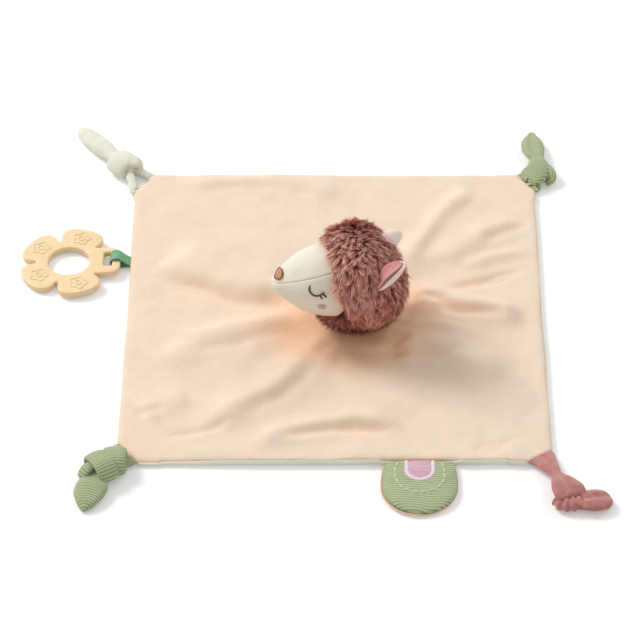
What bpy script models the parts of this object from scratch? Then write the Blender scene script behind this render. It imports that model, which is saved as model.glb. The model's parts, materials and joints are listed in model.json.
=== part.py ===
"""A comfort blanket lovey: a soft square of two cloths with an animal's head in the middle, a knotted strap
at each corner, a flower teether on a ribbon and a padded half-round tab.

Metres, +Z up. X runs along the front edge, Y from the front edge to the rear one. The origin is the middle
of the backing's underside, on the surface that the blanket lies on.
"""

import math

import bmesh
import bpy
import numpy as np
from mathutils import Matrix, Vector

# Driving dimensions of the blanket
BLANKET_WIDTH = 0.300
BLANKET_DEPTH = 0.315
PANEL_THICKNESS = 0.0025
BACKING_LIP = 0.0025
EDGE_STRIP = 0.004
CORNER_CUT = 0.015
FOLD_RISE = 0.010
FOLD_WIDTH = 0.013
HEAD_FLAT_RADIUS = 0.0233
ORIGIN_FLAT_RADIUS = 0.0215
FLAT_FADE = 0.0165
CLEARANCE = 0.0003
CUT_OVERRUN = 0.020

# Head
HEAD_X = 0.0180
HEAD_Y = -0.0137
HEAD_Z = 0.0505
HEAD_HALF_WIDTH = 0.0390
HEAD_HALF_HEIGHT = 0.0405
HEAD_POWER = 2.3
HEAD_ROLL = math.radians(20)
HEAD_YAW = math.radians(3)
HAIRLINE_TILT = math.radians(-18)
FUR_THICKNESS = 0.0060
RUFF_HALF_LENGTH = 0.0290
RUFF_HALF_WIDTH = 0.0220
RUFF_HALF_HEIGHT = 0.0120
RUFF_Z = 0.0225
RUFF_FORWARD = 0.0035
MUZZLE_LENGTH = 0.0625
MUZZLE_REACH = 1.008 * MUZZLE_LENGTH
HEAD_HALF_LENGTH = 0.464 * MUZZLE_LENGTH
HEAD_BACK = 0.088 * MUZZLE_LENGTH
MUZZLE_RADIUS = 0.0272
FACE_CLOTH = 0.0015
NOSE_LENGTH = 0.0110
NOSE_HALF_WIDTH = 0.0040
PATCH_THICKNESS = 0.0006
EYE_THREAD_RADIUS = 0.0007
CHEEK_RADIUS = 0.0028

# Neck
NECK_BALL_RADIUS = 0.0042
NECK_RING_RADIUS = 0.0110
NECK_RING_WIDTH = 0.0035
NECK_RING_HEIGHT = 0.0008

# Ears
EAR_LENGTH = 0.0300
EAR_HALF_WIDTH = 0.0085
EAR_CLOTH = 0.0017
EAR_ROOT_RADIUS = 0.0019
EAR_STALK_SHARE = 0.80

# Teether and its ribbon
TEETHER_RADIUS = 0.0370
TEETHER_NOTCH_RADIUS = 0.0245
TEETHER_HOLE_RADIUS = 0.0152
TEETHER_THICKNESS = 0.0050
TEETHER_EDGE_RADIUS = 0.0012
LUG_LENGTH = 0.0375
LUG_HALF_WIDTH = 0.0140
LUG_CORNER_RADIUS = 0.0075
BAR_WIDTH = 0.0060
SLOT_WIDTH = 0.0062
SLOT_LENGTH = 0.0148
SLOT_OFFSET = 0.0012
BLOSSOM_RADIUS = 0.0072
BLOSSOM_PLACE_RADIUS = 0.0262
BLOSSOM_LINE = 0.0010
BLOSSOM_RISE = 0.0005
RIBBON_WIDTH = 0.0100
RIBBON_THICKNESS = 0.0009
RIBBON_REACH = 0.0085
RIBBON_Y = 0.0575
RIBBON_OFFSET = 0.0031
BAR_RUNNING_GAP = 0.0006

# Tab
TAB_X = 0.0585
TAB_HALF_WIDTH = 0.0252
TAB_STRAIGHT = 0.0175
TAB_CLOTH = 0.0013
TAB_WADDING_THICKNESS = 0.0014
TAB_SEAM_RADIUS = 0.0023
WADDING_INSET = 0.0030
APPLIQUE_RADIUS = 0.0085
APPLIQUE_STRAIGHT = 0.0070
APPLIQUE_BORDER = 0.0016
APPLIQUE_THICKNESS = 0.0010
APPLIQUE_SETBACK = 0.0032

# Corner straps: knot radius, how far the knot lies from the seam, and the loose tail's size
STRAP_ROOT_RADIUS = 0.0022
STRAP_HALF_WIDTH = 0.0055
STRAP_HALF_THICKNESS = 0.0026
TAIL_ROOT_RADIUS = 0.0030
REAR_LEFT_KNOT = 0.0125
REAR_LEFT_REACH = 0.0200
REAR_LEFT_TAIL_LENGTH = 0.0440
REAR_LEFT_TAIL_WIDTH = 0.0145
REAR_RIGHT_KNOT = 0.0130
REAR_RIGHT_REACH = 0.0140
REAR_RIGHT_TAIL_LENGTH = 0.0360
REAR_RIGHT_TAIL_WIDTH = 0.0185
FRONT_LEFT_KNOT = 0.0165
FRONT_LEFT_REACH = 0.0200
FRONT_LEFT_TAIL_LENGTH = 0.0310
FRONT_LEFT_TAIL_WIDTH = 0.0220
FRONT_RIGHT_KNOT = 0.0125
FRONT_RIGHT_REACH = 0.0440
FRONT_RIGHT_TAIL_LENGTH = 0.0250
FRONT_RIGHT_TAIL_WIDTH = 0.0150

PANEL_CELLS = 22
ROUND_SEGMENTS = 28

# Each fold: its rise and width as shares of FOLD_RISE and FOLD_WIDTH, then its crest as shares of the
# blanket's width and depth, from the end near the head to the far end
FOLD_SHARES = (
    (0.50, 1.10, ((-0.110, 0.030), (-0.230, 0.083), (-0.330, 0.133), (-0.425, 0.176))),
    (0.45, 0.95, ((-0.070, -0.045), (-0.200, -0.085), (-0.320, -0.133), (-0.435, -0.200))),
    (0.65, 1.05, ((-0.025, -0.125), (-0.105, -0.224), (-0.197, -0.320), (-0.330, -0.385))),
    (0.55, 0.85, ((-0.205, -0.455), (-0.080, -0.405), (0.036, -0.380), (0.175, -0.372))),
    (0.85, 1.00, ((0.165, 0.040), (0.255, 0.028), (0.373, -0.010), (0.470, -0.036))),
    (1.10, 1.15, ((0.130, -0.125), (0.228, -0.135), (0.310, -0.165), (0.430, -0.235))),
    (0.60, 0.85, ((0.160, 0.130), (0.224, 0.230), (0.290, 0.345), (0.355, 0.445))),
    (0.45, 0.90, ((0.250, 0.165), (0.357, 0.248), (0.460, 0.320))),
    (0.35, 0.80, ((-0.430, 0.455), (-0.236, 0.462), (-0.074, 0.450), (0.010, 0.365))),
    (0.30, 0.70, ((-0.450, -0.350), (-0.400, -0.320), (-0.330, -0.290))),
)
FOLD_END_SHARE = 0.22
CREASE_WIDTH_SHARE = 0.45
CORNER_CLEAR_SHARE = 2.0
CORNER_FLAT_SHARE = 0.6

PEACH = (0.870, 0.700, 0.540)
BACKING_GREY = (0.720, 0.760, 0.670)
FUR_ROSE = (0.400, 0.140, 0.120)
FACE_WHITE = (0.850, 0.840, 0.780)
STUFFING_WHITE = (0.900, 0.900, 0.880)
NOSE_BROWN = (0.480, 0.210, 0.100)
THREAD_BROWN = (0.160, 0.040, 0.030)
CHEEK_PINK = (0.700, 0.370, 0.350)
EAR_PINK = (0.610, 0.230, 0.220)
EAR_CREAM = (0.830, 0.750, 0.640)
CORD_GREEN = (0.350, 0.430, 0.220)
ROSE_VELVET = (0.550, 0.190, 0.170)
CREAM_JERSEY = (0.830, 0.840, 0.690)
RIBBON_GREEN = (0.160, 0.430, 0.230)
TEETHER_CREAM = (0.910, 0.740, 0.430)
TERRY_PINK = (0.650, 0.380, 0.490)
SATIN_PINK = (0.870, 0.620, 0.700)


def clear_scene():
    """Remove whatever objects the file opened with."""
    for old in list(bpy.data.objects):
        bpy.data.objects.remove(old, do_unlink=True)


def new_collection(name):
    """A collection linked to the scene."""
    made = bpy.data.collections.new(name)
    bpy.context.scene.collection.children.link(made)
    return made


clear_scene()
PARTS = new_collection("comfort_blanket_lovey")
CUTTERS = new_collection("cutters")


def material(name, colour, roughness):
    """A Principled material that several sub-parts may share."""
    found = bpy.data.materials.get(name)
    if found:
        return found
    made = bpy.data.materials.new(name)
    made.use_nodes = True
    shader = made.node_tree.nodes["Principled BSDF"]
    shader.inputs["Base Color"].default_value = (*colour, 1.0)
    shader.inputs["Roughness"].default_value = roughness
    shader.inputs["Metallic"].default_value = 0.0
    made.diffuse_color = (*colour, 1.0)
    return made


def empty(name, location, parent=None, turn=0.0):
    """A joint's empty: its origin lies on the axis, turned about Z."""
    made = bpy.data.objects.new(name, None)
    PARTS.objects.link(made)
    made.parent = parent
    made.location = location
    made.rotation_euler = (0.0, 0.0, turn)
    return made


def add_part(name, mesh, finish, parent=None, location=(0.0, 0.0, 0.0)):
    """Link a mesh as a named sub-part."""
    made = bpy.data.objects.new(name, mesh)
    PARTS.objects.link(made)
    made.parent = parent
    made.location = location
    mesh.materials.clear()
    mesh.materials.append(finish)
    mesh.shade_smooth()
    mesh.set_sharp_from_angle(angle=math.radians(50))
    return made


def add_cutter(name, mesh, location=(0.0, 0.0, 0.0), parent=None):
    """Link a mesh as a cutter, which is left out of the part."""
    made = bpy.data.objects.new(name, mesh)
    CUTTERS.objects.link(made)
    made.parent = parent
    made.location = location
    made.hide_render = True
    made.display_type = "WIRE"
    return made


def boolean(target, cutter, operation="DIFFERENCE"):
    """An exact Boolean modifier."""
    step = target.modifiers.new(cutter.name, "BOOLEAN")
    step.operation = operation
    step.solver = "EXACT"
    step.object = cutter
    return step


def mesh_from(work, name):
    """Close a bmesh into a mesh whose faces point out."""
    bmesh.ops.recalc_face_normals(work, faces=work.faces)
    mesh = bpy.data.meshes.new(name)
    work.to_mesh(mesh)
    work.free()
    return mesh


def box_mesh(name, low, high):
    """A box between two corners."""
    work = bmesh.new()
    bmesh.ops.create_cube(work, size=1.0)
    low, high = Vector(low), Vector(high)
    size = high - low
    bmesh.ops.scale(work, vec=size, verts=work.verts)
    bmesh.ops.translate(work, vec=(low + high) / 2, verts=work.verts)
    return mesh_from(work, name)


def rounded_ball_mesh(name, half_sizes, segments, rings, power=2.5):
    """A ball between a sphere and a box: a unit sphere pushed out to a superellipsoid."""
    work = bmesh.new()
    bmesh.ops.create_uvsphere(work, u_segments=segments, v_segments=rings, radius=1.0)
    for vert in work.verts:
        reach = sum(abs(c) ** power for c in vert.co) ** (1.0 / power)
        vert.co = Vector(c / reach * h for c, h in zip(vert.co, half_sizes))
    return mesh_from(work, name)


def applied_mesh(holder, name):
    """The evaluated mesh of a curve or a modified object, with doubled points welded; the holder goes."""
    bpy.context.view_layer.update()
    graph = bpy.context.evaluated_depsgraph_get()
    mesh = bpy.data.meshes.new_from_object(holder.evaluated_get(graph))
    bpy.data.objects.remove(holder, do_unlink=True)
    work = bmesh.new()
    work.from_mesh(mesh)
    bmesh.ops.remove_doubles(work, verts=work.verts, dist=CLEARANCE / 100)
    bpy.data.meshes.remove(mesh)
    return mesh_from(work, name)


def flat_mesh(name, outlines, thickness, edge_radius=0.0):
    """A flat piece from closed outlines in XY: a filled 2D curve, extruded, then made a mesh."""
    curve = bpy.data.curves.new(name, "CURVE")
    curve.dimensions = "2D"
    curve.fill_mode = "BOTH"
    curve.extrude = thickness / 2 - edge_radius
    curve.bevel_depth = edge_radius
    curve.bevel_resolution = 1
    curve.offset = -edge_radius
    for outline in outlines:
        spline = curve.splines.new("POLY")
        spline.points.add(len(outline) - 1)
        for point, (x, y) in zip(spline.points, outline):
            point.co = (x, y, 0.0, 1.0)
        spline.use_cyclic_u = True
    holder = bpy.data.objects.new(name, curve)
    bpy.context.scene.collection.objects.link(holder)
    return applied_mesh(holder, name)


def loft_mesh(name, rings):
    """A closed skin over rings of equal count; each end ring closes on a fan."""
    work = bmesh.new()
    rows = [[work.verts.new(point) for point in ring] for ring in rings]
    count = len(rows[0])
    for low, high in zip(rows, rows[1:]):
        for k in range(count):
            work.faces.new((low[k], low[(k + 1) % count], high[(k + 1) % count], high[k]))
    for row in (rows[0], rows[-1]):
        middle = work.verts.new(sum((v.co for v in row), Vector()) / count)
        for k in range(count):
            work.faces.new((row[k], row[(k + 1) % count], middle))
    return mesh_from(work, name)


def smooth_path(points, count):
    """Points evenly placed along a Catmull-Rom curve through the given ones; any number of columns."""
    points = np.array(points, dtype=float)
    padded = np.vstack([2 * points[0] - points[1], points, 2 * points[-1] - points[-2]])
    spans = len(points) - 1
    path = []
    for t in np.linspace(0, spans, count):
        k = min(int(t), spans - 1)
        f = t - k
        a, b, c, d = padded[k:k + 4]
        path.append(0.5 * (2 * b + (c - a) * f + (2 * a - 5 * b + 4 * c - d) * f ** 2
                           + (3 * b - a - 3 * c + d) * f ** 3))
    return np.array(path)


def strap_rings(points, segments=10, steps=12, crease=0.0):
    """Rings of a soft strap swept along points of (x, y, z, half width, half thickness, roll in degrees).

    The width lies level where the roll is zero. A crease sinks a groove along the middle of the top.
    """
    path = smooth_path(points, steps)
    rings = []
    for k, (x, y, z, half_width, half_thickness, roll) in enumerate(path):
        ahead = path[min(k + 1, steps - 1)][:3]
        behind = path[max(k - 1, 0)][:3]
        along = Vector(ahead - behind).normalized()
        side = along.cross(Vector((0.0, 0.0, 1.0)))
        if side.length < 0.05:
            side = Vector((0.0, 1.0, 0.0))
        side.normalize()
        up = side.cross(along)
        turn = Matrix.Rotation(math.radians(roll), 3, along)
        side, up = turn @ side, turn @ up
        ring = []
        for s in range(segments):
            angle = 2 * math.pi * s / segments
            across, lift = math.cos(angle), math.sin(angle)
            groove = 1.0 - crease * math.exp(-(across / CREASE_WIDTH_SHARE) ** 2) * (lift > 0)
            ring.append(Vector((x, y, z)) + side * across * half_width + up * lift * half_thickness * groove)
        rings.append(ring)
    return rings


# Blanket

def segment_distance(x, y, start, end):
    """Distance from places in plan to a straight piece of a crest, and the share of it passed."""
    along = np.subtract(end, start)
    share = ((x - start[0]) * along[0] + (y - start[1]) * along[1]) / along.dot(along)
    share = np.clip(share, 0.0, 1.0)
    return np.hypot(x - start[0] - share * along[0], y - start[1] - share * along[1]), share


def fold_height(x, y):
    """How far the folds lift the cloth at places in plan."""
    x, y = np.asarray(x, dtype=float), np.asarray(y, dtype=float)
    total = np.zeros(x.shape)
    for rise_share, width_share, crest_shares in FOLD_SHARES:
        crest = smooth_path([(u * BLANKET_WIDTH, v * BLANKET_DEPTH) for u, v in crest_shares], 12)
        nearest = np.full(x.shape, np.inf)
        passed = np.zeros(x.shape)
        for k, (start, end) in enumerate(zip(crest, crest[1:])):
            distance, share = segment_distance(x, y, start, end)
            closer = distance < nearest
            nearest = np.where(closer, distance, nearest)
            passed = np.where(closer, (k + share) / (len(crest) - 1), passed)
        ends = np.clip(np.minimum(passed, 1.0 - passed) / FOLD_END_SHARE, 0.0, 1.0)
        ends = ends * ends * (3.0 - 2.0 * ends)
        profile = np.exp(-(nearest / (width_share * FOLD_WIDTH)) ** 2)
        total = total + rise_share * FOLD_RISE * profile * ends
    for middle_x, middle_y, radius in ((HEAD_X, HEAD_Y, HEAD_FLAT_RADIUS), (0.0, 0.0, ORIGIN_FLAT_RADIUS)):
        away = np.hypot(x - middle_x, y - middle_y) - radius
        total = total * np.clip(away / FLAT_FADE, 0.0, 1.0)
    for side_x in (-1, 1):
        for side_y in (-1, 1):
            away = np.hypot(x - side_x * BLANKET_WIDTH / 2, y - side_y * BLANKET_DEPTH / 2)
            total = total * np.clip(away / (CORNER_CLEAR_SHARE * CORNER_CUT) - CORNER_FLAT_SHARE, 0.0, 1.0)
    return total


def panel_lines(span):
    """Grid lines of a panel across one span, with a narrow strip at each edge."""
    inner = np.linspace(-span / 2 + EDGE_STRIP, span / 2 - EDGE_STRIP, PANEL_CELLS - 1)
    return [-span / 2, *inner, span / 2]


def panel_mesh(name, x_lines, y_lines, lift):
    """An open sheet of cloth that follows the folds, at a lift above the surface it lies on."""
    work = bmesh.new()
    columns, rows = len(x_lines) - 1, len(y_lines) - 1
    bmesh.ops.create_grid(work, x_segments=columns, y_segments=rows, size=0.5)
    for vert in work.verts:
        x = x_lines[round((vert.co.x + 0.5) * columns)]
        y = y_lines[round((vert.co.y + 0.5) * rows)]
        vert.co = (x, y, lift + float(fold_height(x, y)))
    mesh = bpy.data.meshes.new(name)
    work.to_mesh(mesh)
    work.free()
    return mesh


def solidify(target, thickness, offset):
    """Give an open sheet its thickness, on one side of it."""
    step = target.modifiers.new("cloth", "SOLIDIFY")
    step.thickness = thickness
    step.offset = offset
    return step


# Corner cuts: each corner's share of CORNER_CUT along X and along Y
CORNER_CUT_SHARES = {
    "rear_left": (-1.00, 1.50),
    "rear_right": (0.85, 1.35),
    "front_left": (-0.95, -1.25),
    "front_right": (1.10, -0.75),
}


class Corner:
    """Where a corner's cut runs: its middle, its direction and its outward normal, in plan."""

    def __init__(self, name):
        across, along = CORNER_CUT_SHARES[name]
        self.side_x = math.copysign(1.0, across)
        self.side_y = math.copysign(1.0, along)
        self.tip = Vector((self.side_x * BLANKET_WIDTH / 2, self.side_y * BLANKET_DEPTH / 2, 0.0))
        end_x = self.tip - Vector((across * CORNER_CUT, 0.0, 0.0))
        end_y = self.tip - Vector((0.0, along * CORNER_CUT, 0.0))
        self.middle = (end_x + end_y) / 2
        self.half_length = (end_y - end_x).length / 2
        direction = (end_y - end_x).normalized()
        normal = Vector((direction.y, -direction.x, 0.0))
        if normal.dot(self.tip) < 0:
            normal, direction = -normal, -direction
        self.normal = normal
        self.direction = direction
        self.angle = math.atan2(normal.y, normal.x)


CORNERS = {name: Corner(name) for name in CORNER_CUT_SHARES}
SEAM_HEIGHT = PANEL_THICKNESS + CLEARANCE / 2


def corner_cutters():
    """A box that trims each corner of both panels along its cut."""
    cutters = []
    for name, corner in CORNERS.items():
        reach = CORNER_CUT * 2
        mesh = box_mesh(name + "_cut", (0.0, -reach, -CUT_OVERRUN), (reach, reach, CUT_OVERRUN))
        cutter = add_cutter(name + "_cut", mesh, corner.middle)
        cutter.rotation_euler = (0.0, 0.0, corner.angle)
        cutters.append(cutter)
    return cutters


def blanket():
    """The velour top panel and the backing, which rolls out past the front and right edges."""
    cutters = corner_cutters()
    x_lines, y_lines = panel_lines(BLANKET_WIDTH), panel_lines(BLANKET_DEPTH)
    top_lift = PANEL_THICKNESS + CLEARANCE
    top = add_part("blanket_top_panel", panel_mesh("blanket_top_panel", x_lines, y_lines, top_lift),
                   material("peach_velour", PEACH, 0.95))
    solidify(top, PANEL_THICKNESS, 1.0)
    backing_x = [*x_lines, x_lines[-1] + BACKING_LIP]
    backing_y = [y_lines[0] - BACKING_LIP, *y_lines]
    backing = add_part("blanket_back_panel",
                       panel_mesh("blanket_back_panel", backing_x, backing_y, PANEL_THICKNESS),
                       material("backing_cloth", BACKING_GREY, 0.95))
    solidify(backing, PANEL_THICKNESS, -1.0)
    for cutter in cutters:
        boolean(top, cutter)
        boolean(backing, cutter)
    front = -BLANKET_DEPTH / 2
    notch = add_cutter("tab_notch", box_mesh(
        "tab_notch",
        (TAB_X - TAB_HALF_WIDTH - CLEARANCE, front - CUT_OVERRUN, -CUT_OVERRUN),
        (TAB_X + TAB_HALF_WIDTH + CLEARANCE, front, CUT_OVERRUN)))
    boolean(backing, notch)


# Neck and head

NECK_Z = 2 * PANEL_THICKNESS + 2 * CLEARANCE + NECK_BALL_RADIUS


def turned_mesh(name, profile):
    """A closed profile of (radius, height) turned about Z with a Screw modifier."""
    curve = bpy.data.curves.new(name, "CURVE")
    curve.dimensions = "3D"
    spline = curve.splines.new("POLY")
    spline.points.add(len(profile) - 1)
    for point, (radius, height) in zip(spline.points, profile):
        point.co = (radius, 0.0, height, 1.0)
    spline.use_cyclic_u = True
    holder = bpy.data.objects.new(name, curve)
    bpy.context.scene.collection.objects.link(holder)
    screw = holder.modifiers.new("turn", "SCREW")
    screw.steps = screw.render_steps = ROUND_SEGMENTS
    screw.use_merge_vertices = True
    screw.merge_threshold = CLEARANCE / 10
    return applied_mesh(holder, name)


def neck(head_turn):
    """The ring stitched to the blanket, and the core that the head turns and nods on."""
    low = 2 * PANEL_THICKNESS + 2 * CLEARANCE
    high = low + NECK_RING_HEIGHT
    outer, inner = NECK_RING_RADIUS, NECK_RING_RADIUS - NECK_RING_WIDTH
    ring = turned_mesh("neck_ring", [(outer, high), (outer, low), (inner, low), (inner, high)])
    add_part("neck_ring", ring, material("peach_velour", PEACH, 0.95), None, (HEAD_X, HEAD_Y, 0.0))
    core = rounded_ball_mesh("neck_core", (NECK_BALL_RADIUS,) * 3, 16, 10, power=2.0)
    add_part("neck_core", core, material("stuffing", STUFFING_WHITE, 1.0), head_turn)


# The muzzle's section: shares of its length from the nose tip, and shares of its largest radius
MUZZLE_PROFILE_SHARES = (
    (0.000, 0.060), (0.012, 0.150), (0.040, 0.245), (0.085, 0.350), (0.150, 0.470), (0.225, 0.610),
    (0.320, 0.755), (0.440, 0.880), (0.580, 0.965), (0.720, 1.000), (0.860, 0.985), (1.000, 0.900),
)
FACE_BACK_SHARE = 0.80
FACE_ROOM_SHARE = 0.02
NOSE_FILLING_SHARE = 0.05
GUSSET_NOSE_ANGLE = math.radians(41)
GUSSET_BROW_ANGLE = math.radians(23)
MUZZLE_STEP_SHARE = 0.03


def muzzle_radius(share):
    """The muzzle's radius at a share of its length from the nose tip."""
    places, radii = np.array(MUZZLE_PROFILE_SHARES).T
    return float(np.interp(share, places, radii)) * MUZZLE_RADIUS


def muzzle_point(share, angle, lift=0.0):
    """A place on the muzzle in the head's frame, a share of the way from the nose tip and an angle from the
    top towards the head's left, lifted off the cloth along its own normal."""
    ahead, behind = min(share + MUZZLE_STEP_SHARE, 1.0), max(share - MUZZLE_STEP_SHARE, 0.0)
    slope = math.atan2(muzzle_radius(ahead) - muzzle_radius(behind), (ahead - behind) * MUZZLE_LENGTH)
    radius = max(muzzle_radius(share) + lift * math.cos(slope), CLEARANCE)
    x = share * MUZZLE_LENGTH - MUZZLE_REACH - lift * math.sin(slope)
    return Vector((x, -radius * math.sin(angle), radius * math.cos(angle)))


def muzzle_mesh(name, lift, start_share=0.0, end_share=1.0, segments=ROUND_SEGMENTS):
    """The muzzle as one closed body, grown or shrunk by a lift."""
    inside = [s for s, _ in MUZZLE_PROFILE_SHARES if start_share < s < end_share]
    shares = [start_share, *inside, end_share]
    rings = [[muzzle_point(s, 2 * math.pi * k / segments, lift) for k in range(segments)] for s in shares]
    return loft_mesh(name, rings)


def gusset_angle(share):
    """Half the gusset's spread at a share of the way from the nose."""
    return GUSSET_NOSE_ANGLE + (GUSSET_BROW_ANGLE - GUSSET_NOSE_ANGLE) * min(share / FACE_BACK_SHARE, 1.0)


def seam_gap_angle(share):
    """Half the gap of a seam, as an angle at this part of the muzzle."""
    return CLEARANCE / muzzle_radius(share)


def surface_patch(name, grid):
    """An open sheet over a grid of places."""
    work = bmesh.new()
    rows = [[work.verts.new(point) for point in row] for row in grid]
    for low, high in zip(rows, rows[1:]):
        for k in range(len(low) - 1):
            work.faces.new((low[k], low[k + 1], high[k + 1], high[k]))
    mesh = bpy.data.meshes.new(name)
    work.to_mesh(mesh)
    work.free()
    return mesh


def face_panel(name, low_edge, high_edge, start_share, columns):
    """One cloth of the face, between two seams whose angles change from the nose to the fur."""
    grid = []
    for share in np.linspace(start_share, FACE_BACK_SHARE, 10):
        angles = np.linspace(low_edge(share), high_edge(share), columns)
        grid.append([muzzle_point(share, angle) for angle in angles])
    return surface_patch(name, grid)


def face(head):
    """The gusset over the nose and brow, and a side panel on each cheek."""
    cloth = material("face_jersey", FACE_WHITE, 0.9)

    def brow(share):
        return gusset_angle(share) - seam_gap_angle(share)

    def cheek(share):
        return gusset_angle(share) + seam_gap_angle(share)

    def chin(share):
        return math.pi - seam_gap_angle(share)

    panels = (
        ("face_gusset", lambda s: -brow(s), brow, 0.006, 7),
        ("face_side_left", cheek, chin, 0.030, 9),
        ("face_side_right", lambda s: -chin(s), lambda s: -cheek(s), 0.030, 9),
    )
    for name, low_edge, high_edge, start_share, columns in panels:
        mesh = face_panel(name, low_edge, high_edge, start_share, columns)
        solidify(add_part(name, mesh, cloth, head), FACE_CLOTH, -1.0)


def round_patch(name, share, angle, shape, rings=3, spokes=14):
    """A round sheet lying just off the face; shape gives its half sizes along and across at a direction."""
    turn_per_metre = 1.0 / muzzle_radius(share)
    work = bmesh.new()

    def place(reach, direction):
        along, across = shape(direction)
        return muzzle_point(share + along * reach / MUZZLE_LENGTH, angle + across * reach * turn_per_metre,
                            CLEARANCE)

    middle = work.verts.new(place(0.0, 0.0))
    loops = []
    for ring in range(1, rings + 1):
        loops.append([work.verts.new(place(ring / rings, 2 * math.pi * k / spokes)) for k in range(spokes)])
    for k in range(spokes):
        work.faces.new((middle, loops[0][(k + 1) % spokes], loops[0][k]))
        for low, high in zip(loops, loops[1:]):
            work.faces.new((low[k], low[(k + 1) % spokes], high[(k + 1) % spokes], high[k]))
    mesh = bpy.data.meshes.new(name)
    work.to_mesh(mesh)
    work.free()
    return mesh


# Where the features lie: shares of the muzzle's length from the nose tip, and angles from its top
NOSE_PLACE_SHARE = 0.105
NOSE_TAPER_SHARE = 0.55
CHEEK_PLACE_SHARE = 0.575
CHEEK_ANGLE = math.radians(80)
EYE_PLACE_SHARES = (0.422, 0.445, 0.474, 0.500, 0.530, 0.572, 0.611)
EYE_ANGLES = (41.3, 48.5, 53.6, 56.6, 57.7, 55.8, 51.3)
LASH_SHARES = ((0.556, 0.588), (0.592, 0.634))
LASH_ANGLES = ((56.9, 64.5), (53.6, 62.0))


def nose_shape(direction):
    """A teardrop, pointed towards the brow."""
    along, across = math.cos(direction), math.sin(direction)
    taper = 1.0 - NOSE_TAPER_SHARE * max(along, 0.0)
    return along * NOSE_LENGTH / 2, across * taper * NOSE_HALF_WIDTH


def cheek_shape(direction):
    """A round spot."""
    return CHEEK_RADIUS * math.cos(direction), CHEEK_RADIUS * math.sin(direction)


def thread_mesh(name, points):
    """A thick thread laid through places: a curve with a bevel, made a mesh."""
    curve = bpy.data.curves.new(name, "CURVE")
    curve.dimensions = "3D"
    curve.bevel_depth = EYE_THREAD_RADIUS
    curve.bevel_resolution = 1
    curve.use_fill_caps = True
    spline = curve.splines.new("POLY")
    spline.points.add(len(points) - 1)
    for point, place in zip(spline.points, points):
        point.co = (*place, 1.0)
    holder = bpy.data.objects.new(name, curve)
    bpy.context.scene.collection.objects.link(holder)
    return applied_mesh(holder, name)


def features(head):
    """The nose patch, and on each cheek a closed eye with two lashes and a cheek spot."""
    nose = round_patch("nose_patch", NOSE_PLACE_SHARE, 0.0, nose_shape)
    solidify(add_part("nose_patch", nose, material("nose_thread", NOSE_BROWN, 0.7), head),
             PATCH_THICKNESS, 1.0)
    lift = EYE_THREAD_RADIUS + CLEARANCE
    for side, name in ((1, "left"), (-1, "right")):
        cheek = round_patch("cheek_" + name, CHEEK_PLACE_SHARE, side * CHEEK_ANGLE, cheek_shape)
        solidify(add_part("cheek_" + name, cheek, material("cheek_thread", CHEEK_PINK, 0.9), head),
                 PATCH_THICKNESS, 1.0)
        arc = [muzzle_point(share, side * math.radians(angle), lift)
               for share, angle in zip(EYE_PLACE_SHARES, EYE_ANGLES)]
        eye = add_part("eye_" + name, thread_mesh("eye_" + name, arc),
                       material("eye_thread", THREAD_BROWN, 0.6), head)
        for k, (shares, angles) in enumerate(zip(LASH_SHARES, LASH_ANGLES)):
            ends = [muzzle_point(share, side * math.radians(angle), lift)
                    for share, angle in zip(shares, angles)]
            lash_name = "lash_%s_%d" % (name, k)
            boolean(eye, add_cutter(lash_name, thread_mesh(lash_name, ends), parent=head), "UNION")


def head_body(head_nod, head):
    """The fur cover with its ruff, and the stuffing that fills it and the face."""
    tilt = Matrix.Rotation(HAIRLINE_TILT, 4, "Y")

    def tilted_ball(name, half, segments, rings):
        mesh = rounded_ball_mesh(name, half, segments, rings, HEAD_POWER)
        mesh.transform(tilt @ Matrix.Translation((HEAD_BACK, 0.0, 0.0)))
        return mesh

    half = (HEAD_HALF_LENGTH, HEAD_HALF_WIDTH, HEAD_HALF_HEIGHT)
    inner_half = tuple(h - FUR_THICKNESS for h in half)
    filling_half = tuple(h - CLEARANCE for h in inner_half)
    fur = add_part("head_fur_cover", tilted_ball("head_fur_cover", half, ROUND_SEGMENTS, 16),
                   material("rose_fur", FUR_ROSE, 1.0), head)
    ruff_half = (RUFF_HALF_LENGTH, RUFF_HALF_WIDTH, RUFF_HALF_HEIGHT)
    ruff = add_cutter("ruff", rounded_ball_mesh("ruff", ruff_half, 24, 12),
                      (-RUFF_FORWARD, 0.0, RUFF_Z - NECK_Z), head_nod)
    hollow = add_cutter("fur_hollow", tilted_ball("fur_hollow", inner_half, 24, 14), parent=head)
    mouth = add_cutter("face_opening", muzzle_mesh("face_opening", CLEARANCE), parent=head)
    socket = add_cutter("neck_socket", rounded_ball_mesh(
        "neck_socket", (NECK_BALL_RADIUS + CLEARANCE,) * 3, 20, 12, power=2.0), parent=head_nod)
    boolean(fur, ruff, "UNION")
    boolean(fur, hollow)
    boolean(fur, mouth)
    boolean(fur, socket)
    filling = add_part("head_stuffing", tilted_ball("head_stuffing", filling_half, 24, 14),
                       material("stuffing", STUFFING_WHITE, 1.0), head)
    room_mesh = muzzle_mesh("face_cloth_room", CLEARANCE, end_share=FACE_BACK_SHARE + FACE_ROOM_SHARE)
    nose_mesh = muzzle_mesh("nose_stuffing", -FACE_CLOTH - 2 * CLEARANCE, NOSE_FILLING_SHARE)
    boolean(filling, add_cutter("face_cloth_room", room_mesh, parent=head))
    boolean(filling, add_cutter("nose_stuffing", nose_mesh, parent=head), "UNION")


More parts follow.
